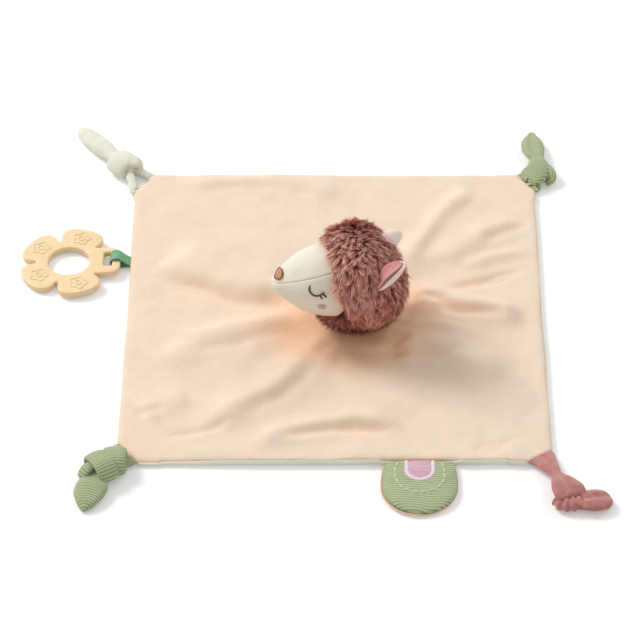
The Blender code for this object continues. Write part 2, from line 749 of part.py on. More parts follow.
# Each ear in the fur ball's own frame, as shares: the direction from its middle to the ear's root, the way
# the ear points and the way its lining faces
EAR_PLACE_SHARES = {
    "left": ((0.32, -0.70, 0.63), (0.80, 0.37, 0.48), (-0.58, 0.23, 0.78)),
    "right": ((0.59, 0.65, 0.48), (0.61, -0.55, 0.57), (-0.50, 0.30, 0.81)),
}
EAR_OUTLINE_SHARES = ((0.00, 0.30), (0.10, 0.52), (0.25, 0.80), (0.45, 1.00), (0.65, 0.95), (0.82, 0.72),
                      (0.94, 0.40), (1.00, 0.10))
EAR_CUP_SHARE = 0.45
EAR_BEND_SHARE = 0.10


def head_surface(direction):
    """Where a direction from the fur ball's middle meets its surface, and the normal there."""
    half = Vector((HEAD_HALF_LENGTH, HEAD_HALF_WIDTH, HEAD_HALF_HEIGHT))
    reach = sum(abs(c / h) ** HEAD_POWER for c, h in zip(direction, half)) ** (-1.0 / HEAD_POWER)
    point = Vector(direction) * reach
    normal = Vector(math.copysign(abs(c / h) ** (HEAD_POWER - 1.0), c) / h for c, h in zip(point, half))
    return point, normal.normalized()


def ear_sheet(name, pointing, across, facing, lift):
    """One cloth of an ear: a leaf cupped towards its lining, starting beside its root ball."""
    grid = []
    start = EAR_ROOT_RADIUS
    for along_share, width_share in EAR_OUTLINE_SHARES:
        row = []
        for c in np.linspace(-1.0, 1.0, 5):
            half_width = width_share * EAR_HALF_WIDTH
            cup = EAR_CUP_SHARE * EAR_HALF_WIDTH * (c * width_share) ** 2
            bend = EAR_BEND_SHARE * EAR_LENGTH * along_share ** 2
            row.append(pointing * (start + along_share * (EAR_LENGTH - start)) + across * c * half_width
                       + facing * (cup - bend + lift))
        grid.append(row)
    return surface_patch(name, grid)


def ears(head):
    """Two ears, each a cream back with a rose lining, on a root that stands just off the fur."""
    tilt = Matrix.Rotation(HAIRLINE_TILT, 3, "Y")
    for name, (direction, pointing, facing) in EAR_PLACE_SHARES.items():
        point, normal = head_surface(direction)
        root = tilt @ (point + normal * (EAR_ROOT_RADIUS + CLEARANCE) + Vector((HEAD_BACK, 0.0, 0.0)))
        pointing = (tilt @ Vector(pointing)).normalized()
        facing = tilt @ Vector(facing)
        facing = (facing - pointing * facing.dot(pointing)).normalized()
        across = facing.cross(pointing)
        hinge = empty("ear_%s_flop" % name, root, head)
        hinge["axis"] = tuple(across)
        back = add_part("ear_%s_back" % name,
                        ear_sheet("ear_%s_back" % name, pointing, across, facing, 0.0),
                        material("ear_back_jersey", EAR_CREAM, 0.9), hinge)
        solidify(back, EAR_CLOTH, 1.0)
        root_ball = add_cutter("ear_%s_root" % name, rounded_ball_mesh(
            "ear_%s_root" % name, (EAR_ROOT_RADIUS,) * 3, 12, 8, power=2.0), parent=hinge)
        stalk_radius = EAR_ROOT_RADIUS * EAR_STALK_SHARE
        section = [(across * math.cos(t) + facing * (math.sin(t) - 1.0)) * stalk_radius
                   for t in np.linspace(0.0, 2 * math.pi, 9)[:-1]]
        stalk_rings = [[pointing * reach + place for place in section]
                       for reach in (0.0, EAR_ROOT_RADIUS * 2)]
        neck_of_ear = add_cutter("ear_%s_stalk" % name, loft_mesh("ear_%s_stalk" % name, stalk_rings),
                                 parent=hinge)
        boolean(back, neck_of_ear, "UNION")
        boolean(back, root_ball, "UNION")
        lining = add_part("ear_%s_lining" % name,
                          ear_sheet("ear_%s_lining" % name, pointing, across, facing, CLEARANCE),
                          material("ear_lining_velour", EAR_PINK, 0.95), hinge)
        solidify(lining, EAR_CLOTH, -1.0)


# Teether and ribbon

PETALS = 5
PETAL_HALF_ANGLE = math.radians(33)
BLOSSOM_DEPTH_SHARE = 0.28
BLOSSOM_EYE_SHARE = 0.40
BAR_CIRCLE = math.hypot(BAR_WIDTH / 2 - TEETHER_EDGE_RADIUS, TEETHER_THICKNESS / 2 - TEETHER_EDGE_RADIUS) \
    + TEETHER_EDGE_RADIUS
RIBBON_INNER = BAR_CIRCLE + BAR_RUNNING_GAP
RIBBON_OUTER = RIBBON_INNER + RIBBON_THICKNESS
RIBBON_ROOT_RADIUS = RIBBON_THICKNESS + CLEARANCE / 2
BAR_PLACE = LUG_LENGTH - BAR_WIDTH / 2
TEETHER_FAR_SHARE = 0.955


def arc_points(centre, radius, start, end, count):
    """Points along an arc, angles in degrees."""
    return [(centre[0] + radius * math.cos(math.radians(a)), centre[1] + radius * math.sin(math.radians(a)))
            for a in np.linspace(start, end, count)]


def flower_outline():
    """Four blunt petals round the middle, with the ribbon's lug in the fifth's place."""
    outline = []
    pitch = 2 * math.pi / PETALS
    notch, outer = TEETHER_NOTCH_RADIUS, TEETHER_RADIUS
    for petal in range(1, PETALS):
        for turn in np.linspace(-pitch / 2, pitch / 2, 17)[:-1]:
            fall = min(abs(turn) / PETAL_HALF_ANGLE, 1.0) ** 4
            radius = notch + (outer - notch) * math.sqrt(1.0 - fall)
            angle = petal * pitch + turn
            outline.append((radius * math.cos(angle), radius * math.sin(angle)))
    corner = LUG_CORNER_RADIUS
    x, y = LUG_LENGTH - corner, LUG_HALF_WIDTH - corner
    outline += arc_points((x, -y), corner, -90, 0, 5)
    outline += arc_points((x, y), corner, 0, 90, 5)
    return outline


def slot_outline():
    """The slot beside the bar."""
    right = LUG_LENGTH - BAR_WIDTH
    left = right - SLOT_WIDTH
    low, high = SLOT_OFFSET - SLOT_LENGTH / 2, SLOT_OFFSET + SLOT_LENGTH / 2
    corner = SLOT_WIDTH / 4
    return (arc_points((right - corner, high - corner), corner, 0, 90, 3)
            + arc_points((left + corner, high - corner), corner, 90, 180, 3)
            + arc_points((left + corner, low + corner), corner, 180, 270, 3)
            + arc_points((right - corner, low + corner), corner, 270, 360, 3))


def blossom_outline(radius, count=20):
    """A small rounded star."""
    outline = []
    for k in range(count):
        angle = 2 * math.pi * k / count
        reach = radius * (1.0 - BLOSSOM_DEPTH_SHARE * (0.5 - 0.5 * math.cos(PETALS * angle)))
        outline.append((reach * math.cos(angle), reach * math.sin(angle)))
    return outline


def teether(swing):
    """The flower teether: hole, slot and bar, with a raised blossom on each petal."""
    rest_tilt = math.asin((RIBBON_OUTER - TEETHER_THICKNESS / 2)
                          / (BAR_PLACE + TEETHER_RADIUS * TEETHER_FAR_SHARE))
    hole = arc_points((0.0, 0.0), TEETHER_HOLE_RADIUS, 0, 345, 24)
    body_mesh = flat_mesh("teether", [flower_outline(), hole, slot_outline()], TEETHER_THICKNESS,
                          TEETHER_EDGE_RADIUS)
    body = add_part("teether", body_mesh, material("teether_silicone", TEETHER_CREAM, 0.45), swing,
                    (-BAR_PLACE * math.cos(rest_tilt), -RIBBON_OFFSET, -BAR_PLACE * math.sin(rest_tilt)))
    body.rotation_euler = (0.0, -rest_tilt, 0.0)
    eye_radius = BLOSSOM_EYE_SHARE * BLOSSOM_RADIUS
    for petal in range(1, PETALS):
        angle = petal * 2 * math.pi / PETALS
        rim = flat_mesh("blossom_%d" % petal, [
            blossom_outline(BLOSSOM_RADIUS), blossom_outline(BLOSSOM_RADIUS - BLOSSOM_LINE)],
            2 * BLOSSOM_RISE)
        eye = flat_mesh("blossom_eye_%d" % petal, [
            arc_points((0.0, 0.0), eye_radius, 0, 324, 10),
            arc_points((0.0, 0.0), eye_radius - BLOSSOM_LINE, 0, 324, 10)], 2 * BLOSSOM_RISE)
        for mesh in (rim, eye):
            cutter = add_cutter(mesh.name, mesh, (BLOSSOM_PLACE_RADIUS * math.cos(angle),
                                                  BLOSSOM_PLACE_RADIUS * math.sin(angle),
                                                  TEETHER_THICKNESS / 2), body)
            cutter.rotation_euler = (0.0, 0.0, angle)
            boolean(body, cutter, "UNION")


def ribbon(flap):
    """The ribbon: a loop round the teether's bar whose two ends meet in the blanket's left seam."""
    rise = RIBBON_OUTER - SEAM_HEIGHT
    lean = math.asin(rise / RIBBON_REACH)
    opening = 180 - math.degrees(math.acos((RIBBON_OUTER - RIBBON_ROOT_RADIUS) / RIBBON_REACH))
    outer = (arc_points((RIBBON_REACH, 0.0), RIBBON_OUTER, -opening, opening, 18)
             + arc_points((0.0, 0.0), RIBBON_ROOT_RADIUS, opening, 360 - opening, 8))
    fold = RIBBON_REACH - RIBBON_INNER
    inner = (arc_points((RIBBON_REACH, 0.0), RIBBON_INNER, -opening, opening, 16)
             + [(fold / 2, 0.0)])
    outer = [(-x, y) for x, y in outer]
    inner = [(-x, y) for x, y in inner]
    mesh = flat_mesh("ribbon_loop", [outer, inner], RIBBON_WIDTH)
    mesh.transform(Matrix.Rotation(math.radians(90), 4, "X"))
    mesh.transform(Matrix.Rotation(lean, 4, "Y"))
    add_part("ribbon_loop", mesh, material("ribbon_satin", RIBBON_GREEN, 0.5), flap)
    return Vector((-RIBBON_REACH * math.cos(lean), 0.0, rise))


# Tab

def tab_outline(half_width, straight, start=-CLEARANCE):
    """A U: straight sides from its start, then a half circle."""
    bow = arc_points((0.0, -straight), half_width, 180, 360, 15)
    return [(-half_width, start), *bow, (half_width, start)]


def tab(flap):
    """The padded half-round tab with its half-round applique."""
    cord = material("green_corduroy", CORD_GREEN, 0.95)
    middle = TAB_WADDING_THICKNESS / 2 + CLEARANCE + TAB_CLOTH / 2
    outline = tab_outline(TAB_HALF_WIDTH, TAB_STRAIGHT)
    add_part("tab_face", flat_mesh("tab_face", [outline], TAB_CLOTH), cord, flap, (0.0, 0.0, middle))
    add_part("tab_backing", flat_mesh("tab_backing", [outline], TAB_CLOTH),
             material("peach_velour", PEACH, 0.95), flap, (0.0, 0.0, -middle))
    wadding = add_part("tab_wadding", flat_mesh(
        "tab_wadding", [tab_outline(TAB_HALF_WIDTH - WADDING_INSET, TAB_STRAIGHT, TAB_SEAM_RADIUS / 2)],
        TAB_WADDING_THICKNESS),
        material("stuffing", STUFFING_WHITE, 1.0), flap)
    roll = bmesh.new()
    length = 2 * (TAB_HALF_WIDTH - WADDING_INSET)
    bmesh.ops.create_cone(roll, cap_ends=True, segments=16, radius1=TAB_SEAM_RADIUS, radius2=TAB_SEAM_RADIUS,
                          depth=length, matrix=Matrix.Rotation(math.radians(90), 4, "Y"))
    trim = add_cutter("tab_seam_trim", box_mesh(
        "tab_seam_trim", (-length, -CUT_OVERRUN, -TAB_SEAM_RADIUS * 2), (length, 0.0, TAB_SEAM_RADIUS * 2)),
        parent=flap)
    seam = add_cutter("tab_seam_roll", mesh_from(roll, "tab_seam_roll"), parent=flap)
    boolean(seam, trim)
    boolean(wadding, seam, "UNION")

    lift = middle + TAB_CLOTH / 2 + CLEARANCE + APPLIQUE_THICKNESS / 2
    reach = APPLIQUE_RADIUS + APPLIQUE_BORDER
    terry = flat_mesh("tab_applique", [tab_outline(APPLIQUE_RADIUS, APPLIQUE_STRAIGHT)], APPLIQUE_THICKNESS)
    place = (0.0, -APPLIQUE_SETBACK, lift)
    add_part("tab_applique", terry, material("pink_terry", TERRY_PINK, 1.0), flap, place)
    outer = tab_outline(reach, APPLIQUE_STRAIGHT)
    inner = tab_outline(APPLIQUE_RADIUS + CLEARANCE, APPLIQUE_STRAIGHT)
    border = flat_mesh("tab_applique_border", [outer + inner[::-1]], APPLIQUE_THICKNESS)
    add_part("tab_applique_border", border, material("pink_satin", SATIN_PINK, 0.35), flap, place)


# Corner straps

LEG_END_SHARE = 0.4
LEG_NARROWING_SHARE = 0.15
LEG_APART_SHARE = 0.25
LEG_ROOT_SHARE = 0.9
ROLL_REACH_SHARE = 0.6
HOOP_SHARE = 0.30
HOOP_WIDTH_SHARE = 0.42
HOOP_REACH_SHARE = 1.12
KNOT_HALF_SHARES = (0.98, 0.84, 0.66)
KNOT_HEIGHT_SHARE = 0.76
TAIL_SEAT_SHARE = 1.02
TAIL_ROOT_WIDTH_SHARE = 0.50
TAIL_FALL_SHARE = 1.2
TAIL_LIFT_SHARE = 0.5
# Root rings behind a tail's hinge: shares of the root radius back along the tail, and of its half thickness
TAIL_ROOT_SHARES = ((-0.95, 0.30), (-0.60, 0.78), (0.00, 0.98))
# A tail's rings: shares of its length, of its half width, and of its half thickness
TAIL_SHARES = ((0.16, 0.72, 0.52), (0.38, 0.97, 0.62), (0.60, 1.00, 0.60), (0.80, 0.80, 0.50),
               (0.93, 0.48, 0.34), (1.00, 0.12, 0.10))
# Each turn round a knot: its place along the strap as a share of the knot's radius, its slant in degrees,
# and its size as a share of the knot's
HOOP_SHARES = {
    "rear_left": ((-0.10, 28, 1.0),),
    "rear_right": ((0.05, 40, 1.0),),
    "front_left": ((-0.42, -20, 0.95), (0.28, 30, 1.0)),
    "front_right": ((0.10, 35, 1.0),),
}


def strap_mesh(name, points, steps=12, segments=10, crease=0.0):
    """A closed soft strap through points of place, half sizes and roll."""
    return loft_mesh(name, strap_rings(points, segments, steps, crease))


def leg_mesh(name, start_y, start_half_width, end, steps, segments=8):
    """A flat strap from the seam to its knot, lofted in planes that stand square to the seam."""
    rings = []
    for share in np.linspace(0.0, 1.0, steps):
        y = start_y + (end.y - start_y) * share
        lift = end.z * share * share * (3.0 - 2.0 * share)
        half_width = start_half_width + (STRAP_HALF_WIDTH - start_half_width) * math.sin(math.pi / 2 * share)
        half_width *= 1.0 - LEG_NARROWING_SHARE * math.sin(math.pi * share)
        root_thickness = STRAP_ROOT_RADIUS * LEG_ROOT_SHARE
        half_thickness = root_thickness + (STRAP_HALF_THICKNESS - root_thickness) * share
        turns = np.linspace(0.0, 2 * math.pi, segments + 1)[:-1]
        sections = [(half_width * math.cos(t), half_thickness * math.sin(t)) for t in turns]
        rings.append([Vector((end.x * share, y + across, lift + up)) for across, up in sections])
    return loft_mesh(name, rings)


def hoop_mesh(name, half_length, half_width, half_height):
    """A turn of the strap round its knot: a torus pressed to the knot's size, its axis along X."""
    bpy.ops.mesh.primitive_torus_add(major_segments=16, minor_segments=6, major_radius=1.0,
                                     minor_radius=HOOP_SHARE)
    holder = bpy.context.object
    mesh = holder.data
    bpy.data.objects.remove(holder, do_unlink=True)
    mesh.name = name
    reach = 1.0 + HOOP_SHARE
    mesh.transform(Matrix.Diagonal((half_height / reach, half_width / reach, half_length / HOOP_SHARE, 1.0)))
    mesh.transform(Matrix.Rotation(math.radians(90), 4, "Y"))
    return mesh


def corner_strap(name, finish, radius, reach, bearing, tail_length, tail_width, tail_bearing, hoops,
                 crease=0.0, gathered=False):
    """A strap that leaves the corner in two legs, is tied in a knot and ends in a loose tail.

    Bearings are in degrees in plan, and each hoop is a turn of the strap round the knot.
    """
    corner = CORNERS[name]
    out = STRAP_ROOT_RADIUS + 2 * CLEARANCE
    hinge = empty("knot_%s_flap" % name, corner.middle + corner.normal * out
                  + Vector((0.0, 0.0, SEAM_HEIGHT)), turn=corner.angle)
    heading = math.radians(bearing) - corner.angle
    knot_height = radius * KNOT_HEIGHT_SHARE - SEAM_HEIGHT + CLEARANCE
    centre = Vector((reach * math.cos(heading), reach * math.sin(heading), knot_height))
    half = tuple(radius * share for share in KNOT_HALF_SHARES)
    knot_mesh = rounded_ball_mesh("corner_knot_" + name, half, 14, 10, power=2.2)
    knot_mesh.transform(Matrix.Translation(centre) @ Matrix.Rotation(heading, 4, "Z"))
    knot = add_part("corner_knot_" + name, knot_mesh, finish, hinge)

    for k, (along_share, slant, size_share) in enumerate(hoops):
        hoop_name = "hoop_%s_%d" % (name, k)
        mesh = hoop_mesh(hoop_name, radius * HOOP_WIDTH_SHARE * size_share,
                         half[1] * HOOP_REACH_SHARE * size_share, half[2] * HOOP_REACH_SHARE * size_share)
        mesh.transform(Matrix.Translation(centre) @ Matrix.Rotation(heading, 4, "Z")
                       @ Matrix.Translation((along_share * radius, 0.0, 0.0))
                       @ Matrix.Rotation(math.radians(slant), 4, "Z"))
        boolean(knot, add_cutter(hoop_name, mesh, parent=hinge), "UNION")

    root, width = STRAP_ROOT_RADIUS, STRAP_HALF_WIDTH
    spread = corner.half_length - width
    roll_reach = spread + width * ROLL_REACH_SHARE
    end = centre - Vector((math.cos(heading), math.sin(heading), 0.0)) * radius * LEG_END_SHARE
    legs = ((0, "whole", 9),) if gathered else ((-1, "a", 6), (1, "b", 7))
    for side, leg, steps in legs:
        leg_name = "leg_%s_%s" % (name, leg)
        apart = Vector((side * CLEARANCE * 2, side * width * LEG_APART_SHARE, side * CLEARANCE))
        start_half_width = width if side else roll_reach
        mesh = leg_mesh(leg_name, side * spread, start_half_width, end + apart, steps)
        boolean(knot, add_cutter(leg_name, mesh, parent=hinge), "UNION")
    seam_roll = [(0.0, side * roll_reach, 0.0, root, root, 0.0) for side in (-1, 0, 1)]
    roll_name = "seam_roll_" + name
    boolean(knot, add_cutter(roll_name, strap_mesh(roll_name, seam_roll, 5, 12), parent=hinge), "UNION")

    swing = math.radians(tail_bearing) - corner.angle
    tail_way = Vector((math.cos(swing), math.sin(swing), 0.0))
    seat = centre + tail_way * radius * TAIL_SEAT_SHARE
    tail_turn = empty("tail_%s_flop" % name, seat, hinge, swing)
    seat_cut = add_cutter("tail_seat_" + name, box_mesh(
        "tail_seat_" + name, (-TAIL_ROOT_RADIUS - 2 * CLEARANCE, -CUT_OVERRUN, -CUT_OVERRUN),
        (CUT_OVERRUN, CUT_OVERRUN, CUT_OVERRUN)), parent=tail_turn)
    boolean(knot, seat_cut)

    height = seat.z + SEAM_HEIGHT
    half_width = tail_width / 2
    root_half_width = half_width * TAIL_ROOT_WIDTH_SHARE
    points = [(share * TAIL_ROOT_RADIUS, 0.0, 0.0, root_half_width, TAIL_ROOT_RADIUS * thick, 0.0)
              for share, thick in TAIL_ROOT_SHARES]
    for along_share, width_share, thickness_share in TAIL_SHARES:
        half_thickness = half_width * thickness_share
        low = half_thickness - height + CLEARANCE
        rise = max(low, TAIL_LIFT_SHARE * TAIL_ROOT_RADIUS - TAIL_FALL_SHARE * height * along_share)
        points.append((along_share * tail_length, 0.0, rise, half_width * width_share, half_thickness, 0.0))
    add_part("corner_tail_" + name, strap_mesh("corner_tail_" + name, points, 13, 10, crease), finish,
             tail_turn)


def corner_straps():
    """The four knotted straps."""
    cord = material("green_corduroy", CORD_GREEN, 0.95)
    corner_strap("rear_left", material("cream_jersey", CREAM_JERSEY, 0.9), REAR_LEFT_KNOT, REAR_LEFT_REACH,
                 138, REAR_LEFT_TAIL_LENGTH, REAR_LEFT_TAIL_WIDTH, 124, HOOP_SHARES["rear_left"])
    corner_strap("rear_right", cord, REAR_RIGHT_KNOT, REAR_RIGHT_REACH, 48, REAR_RIGHT_TAIL_LENGTH,
                 REAR_RIGHT_TAIL_WIDTH, 97, HOOP_SHARES["rear_right"], crease=0.35)
    corner_strap("front_left", cord, FRONT_LEFT_KNOT, FRONT_LEFT_REACH, -128, FRONT_LEFT_TAIL_LENGTH,
                 FRONT_LEFT_TAIL_WIDTH, -106, HOOP_SHARES["front_left"])
    corner_strap("front_right", material("rose_velvet", ROSE_VELVET, 0.9), FRONT_RIGHT_KNOT,
                 FRONT_RIGHT_REACH, -70, FRONT_RIGHT_TAIL_LENGTH, FRONT_RIGHT_TAIL_WIDTH, -3,
                 HOOP_SHARES["front_right"], crease=0.40, gathered=True)


def build():
    """Build every sub-part, each moving group under the empty on its joint."""
    blanket()
    head_turn = empty("head_turn", (HEAD_X, HEAD_Y, NECK_Z))
    head_nod = empty("head_nod", (0.0, 0.0, 0.0), head_turn)
    head = empty("head_pose", (0.0, 0.0, HEAD_Z - NECK_Z), head_nod, HEAD_YAW)
    head.rotation_euler = (HEAD_ROLL, 0.0, HEAD_YAW)
    neck(head_turn)
    head_body(head_nod, head)
    face(head)
    features(head)
    ears(head)
    seam_out = BLANKET_WIDTH / 2 + CLEARANCE + RIBBON_ROOT_RADIUS
    ribbon_flap = empty("ribbon_flap", (-seam_out, RIBBON_Y, SEAM_HEIGHT))
    bar = ribbon(ribbon_flap)
    teether(empty("teether_swing", bar, ribbon_flap))
    tab(empty("tab_flap", (TAB_X, -BLANKET_DEPTH / 2 - CLEARANCE - TAB_SEAM_RADIUS, SEAM_HEIGHT)))
    corner_straps()


build()
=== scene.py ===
import json
import math

import bmesh
import bpy
import numpy as np
from mathutils import Matrix, Vector


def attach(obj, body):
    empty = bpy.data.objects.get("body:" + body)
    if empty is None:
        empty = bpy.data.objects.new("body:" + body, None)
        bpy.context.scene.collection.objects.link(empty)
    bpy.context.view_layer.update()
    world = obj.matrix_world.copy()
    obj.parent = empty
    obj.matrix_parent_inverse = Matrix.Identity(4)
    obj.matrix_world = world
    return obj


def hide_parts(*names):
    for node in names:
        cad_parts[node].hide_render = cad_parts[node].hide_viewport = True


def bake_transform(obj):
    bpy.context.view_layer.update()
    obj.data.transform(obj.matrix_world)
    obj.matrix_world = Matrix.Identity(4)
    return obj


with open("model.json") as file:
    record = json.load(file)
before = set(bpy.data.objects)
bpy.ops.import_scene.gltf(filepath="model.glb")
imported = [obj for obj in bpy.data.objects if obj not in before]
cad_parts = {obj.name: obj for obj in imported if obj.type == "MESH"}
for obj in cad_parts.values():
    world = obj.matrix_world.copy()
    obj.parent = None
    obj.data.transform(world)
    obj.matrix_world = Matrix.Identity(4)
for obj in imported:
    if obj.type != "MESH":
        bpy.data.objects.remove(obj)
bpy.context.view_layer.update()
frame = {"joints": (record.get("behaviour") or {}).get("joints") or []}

JOINTS = {joint["name"]: joint for joint in frame["joints"]}
RNG = np.random.default_rng(7)

# Sizes shared with the CAD source, in metres
WIDTH, DEPTH = 0.300, 0.315
LIP = 0.0025
CUT = 0.015
CUTS = {"rear_left": (-1.00, 1.50), "rear_right": (0.85, 1.35), "front_left": (-0.95, -1.25),
        "front_right": (1.10, -0.75)}    # how much of CUT each corner loses along X and Y
FOLD_RISE, FOLD_WIDTH = 0.010, 0.013
HEAD = Vector((0.0180, -0.0137, 0.0505))
HEAD_TURN = (Matrix.Rotation(math.radians(7.5), 3, "Z") @ Matrix.Rotation(math.radians(-3), 3, "Y")
             @ Matrix.Rotation(math.radians(5), 3, "X"))
TILT = Matrix.Rotation(math.radians(-27), 3, "Y")
BALL_HALF = np.array((0.0290, 0.0385, 0.0385))
BALL_POWER = 2.3
BALL_BACK = 0.0018
# Each fold: its rise and width in FOLD_RISE and FOLD_WIDTH, and its line in shares of WIDTH and DEPTH
FOLDS = (
    (0.50, 1.10, ((-0.110, 0.030), (-0.230, 0.083), (-0.330, 0.133), (-0.425, 0.176))),
    (0.45, 0.95, ((-0.070, -0.045), (-0.200, -0.085), (-0.320, -0.133), (-0.435, -0.200))),
    (0.65, 1.05, ((-0.025, -0.125), (-0.105, -0.224), (-0.197, -0.320), (-0.330, -0.385))),
    (0.55, 0.85, ((-0.205, -0.455), (-0.080, -0.405), (0.036, -0.380), (0.175, -0.372))),
    (0.85, 1.00, ((0.165, 0.040), (0.255, 0.028), (0.373, -0.010), (0.470, -0.036))),
    (1.10, 1.15, ((0.130, -0.125), (0.228, -0.135), (0.310, -0.165), (0.430, -0.235))),
    (0.60, 0.85, ((0.160, 0.130), (0.224, 0.230), (0.290, 0.345), (0.355, 0.445))),
    (0.45, 0.90, ((0.250, 0.165), (0.357, 0.248), (0.460, 0.320))),
    (0.35, 0.80, ((-0.430, 0.455), (-0.236, 0.462), (-0.074, 0.450), (0.010, 0.365))),
    (0.30, 0.70, ((-0.450, -0.350), (-0.400, -0.320), (-0.330, -0.290))),
)
# Finer wrinkles, in millimetres: rise, width, and the line that each follows
WRINKLES = (
    (-1.2, 7, ((-134, 139), (-78, 141), (-26, 137), (6, 104))),
    (1.6, 8, ((-128, 78), (-84, 46), (-37, 13))),
    (-2.2, 8, ((-134, 37), (-76, 14), (-21, -1))),
    (1.6, 8, ((-121, -28), (-75, -20), (-25, -8))),
    (-1.8, 8, ((-18, -17), (-67, -35), (-117, -49))),
    (-2.2, 8, ((-7, -44), (-35, -86), (-69, -117))),
    (-1.0, 4, ((-143, -109), (-129, -107), (-115, -102))),
    (-1.0, 4, ((-121, -130), (-93, -126), (-66, -117))),
    (-2.4, 5, ((-45, -137), (4, -126), (45, -128))),
    (-1.4, 4, ((-148, -133), (-134, -148), (-120, -156))),
    (-2.2, 8, ((55, 38), (85, 96), (113, 146))),
    (1.6, 6, ((91, 44), (117, 58), (144, 72))),
    (-2.0, 5, ((76, 19), (109, 31), (143, 46))),
    (-1.4, 5, ((107, 72), (126, 85), (145, 96))),
    (-2.4, 5, ((47, 9), (76, 8), (90, -5), (140, -12))),
    (1.4, 6, ((41, -9), (72, -18), (104, -30))),
    (-2.6, 6, ((4, -39), (39, -46), (75, -52), (100, -46))),
    (-1.2, 6, ((75, -39), (96, -52), (117, -67))),
    (-1.4, 6, ((93, -149), (114, -143), (135, -133))),
)


def smooth_path(points, count):
    """Points evenly placed along a Catmull-Rom curve through the given ones; any number of columns."""
    points = np.array(points, dtype=float)
    padded = np.vstack([2 * points[0] - points[1], points, 2 * points[-1] - points[-2]])
    t = np.linspace(0, len(points) - 1, count)
    k = np.minimum(t.astype(int), len(points) - 2)
    f = (t - k)[:, None]
    a, b, c, d = padded[k], padded[k + 1], padded[k + 2], padded[k + 3]
    return 0.5 * (2 * b + (c - a) * f + (2 * a - 5 * b + 4 * c - d) * f ** 2 + (3 * b - a - 3 * c + d) * f ** 3)


def smoothstep(value):
    value = np.clip(value, 0.0, 1.0)
    return value * value * (3 - 2 * value)


def bell(value):
    return np.exp(-value ** 2)


def rounded(value, power):
    """A sine or cosine made squarer or sharper by a power, with its sign kept."""
    return np.sign(value) * np.abs(value) ** power


def unit(vectors):
    """Vectors at length 1."""
    return vectors / np.linalg.norm(vectors, axis=-1, keepdims=True)


def ring_turns(count):
    """Angles evenly round a ring, in radians."""
    return np.linspace(0, 2 * math.pi, count + 1)[:-1]


def joint_place(name):
    return np.array(JOINTS[name]["pos_m"])


def soft_noise(x, y, size, seed):
    """Smooth noise from -1 to 1 over places in plan, with lumps of the given size."""
    grid = np.random.default_rng(seed).uniform(-1, 1, (64, 64))
    u, v = np.asarray(x) / size + 31.3, np.asarray(y) / size + 17.7
    i, j = np.floor(u).astype(int), np.floor(v).astype(int)
    fu, fv = smoothstep(u - i), smoothstep(v - j)
    pick = lambda a, b: grid[a % 64, b % 64]
    low = pick(i, j) * (1 - fu) + pick(i + 1, j) * fu
    high = pick(i, j + 1) * (1 - fu) + pick(i + 1, j + 1) * fu
    return low * (1 - fv) + high * fv


def make(name, verts, faces, finish, attributes=None):
    """A smooth mesh object from arrays."""
    mesh = bpy.data.meshes.new(name)
    mesh.from_pydata([tuple(v) for v in np.asarray(verts, dtype=float)], [], [tuple(f) for f in faces])
    mesh.update()
    mesh.materials.append(finish)
    mesh.shade_smooth()
    for key, values in (attributes or {}).items():
        held = mesh.attributes.new(key, "FLOAT", "POINT")
        held.data.foreach_set("value", np.asarray(values, dtype=np.float32))
    made = bpy.data.objects.new(name, mesh)
    bpy.context.scene.collection.objects.link(made)
    return made


def grid_faces(rows, columns, wrap=False):
    """Quads over a grid of rows by columns; wrap joins the last column to the first."""
    faces = []
    for low in range(0, (rows - 1) * columns, columns):
        high = low + columns
        for c in range(columns if wrap else columns - 1):
            d = (c + 1) % columns
            faces.append((low + c, low + d, high + d, high + c))
    return faces


def capped_faces(rows, ring):
    """A tube's quads, and one face over each end."""
    return grid_faces(rows, ring, True) + [tuple(range(ring))[::-1], tuple(range((rows - 1) * ring, rows * ring))]


def pointed_faces(rows, ring):
    """A tube's quads, and a fan over each end to two points that follow the tube's own."""
    faces = grid_faces(rows, ring, True)
    last, total = (rows - 1) * ring, rows * ring
    for k in range(ring):
        faces.append((k, (k + 1) % ring, total))
        faces.append((last + k, last + (k + 1) % ring, total + 1))
    return faces


def rework(made, change):
    """Make a change to an object's mesh through bmesh."""
    work = bmesh.new()
    work.from_mesh(made.data)
    change(work)
    work.to_mesh(made.data)
    work.free()
    return made


def recalc(made):
    """Turn a closed mesh's faces outwards."""
    return rework(made, lambda work: bmesh.ops.recalc_face_normals(work, faces=work.faces))


def merge(made, distance):
    return rework(made, lambda work: bmesh.ops.remove_doubles(work, verts=work.verts, dist=distance))


def solidify(made, thickness, offset=-1.0):
    step = made.modifiers.new("cloth", "SOLIDIFY")
    step.thickness = thickness
    step.offset = offset


# Materials


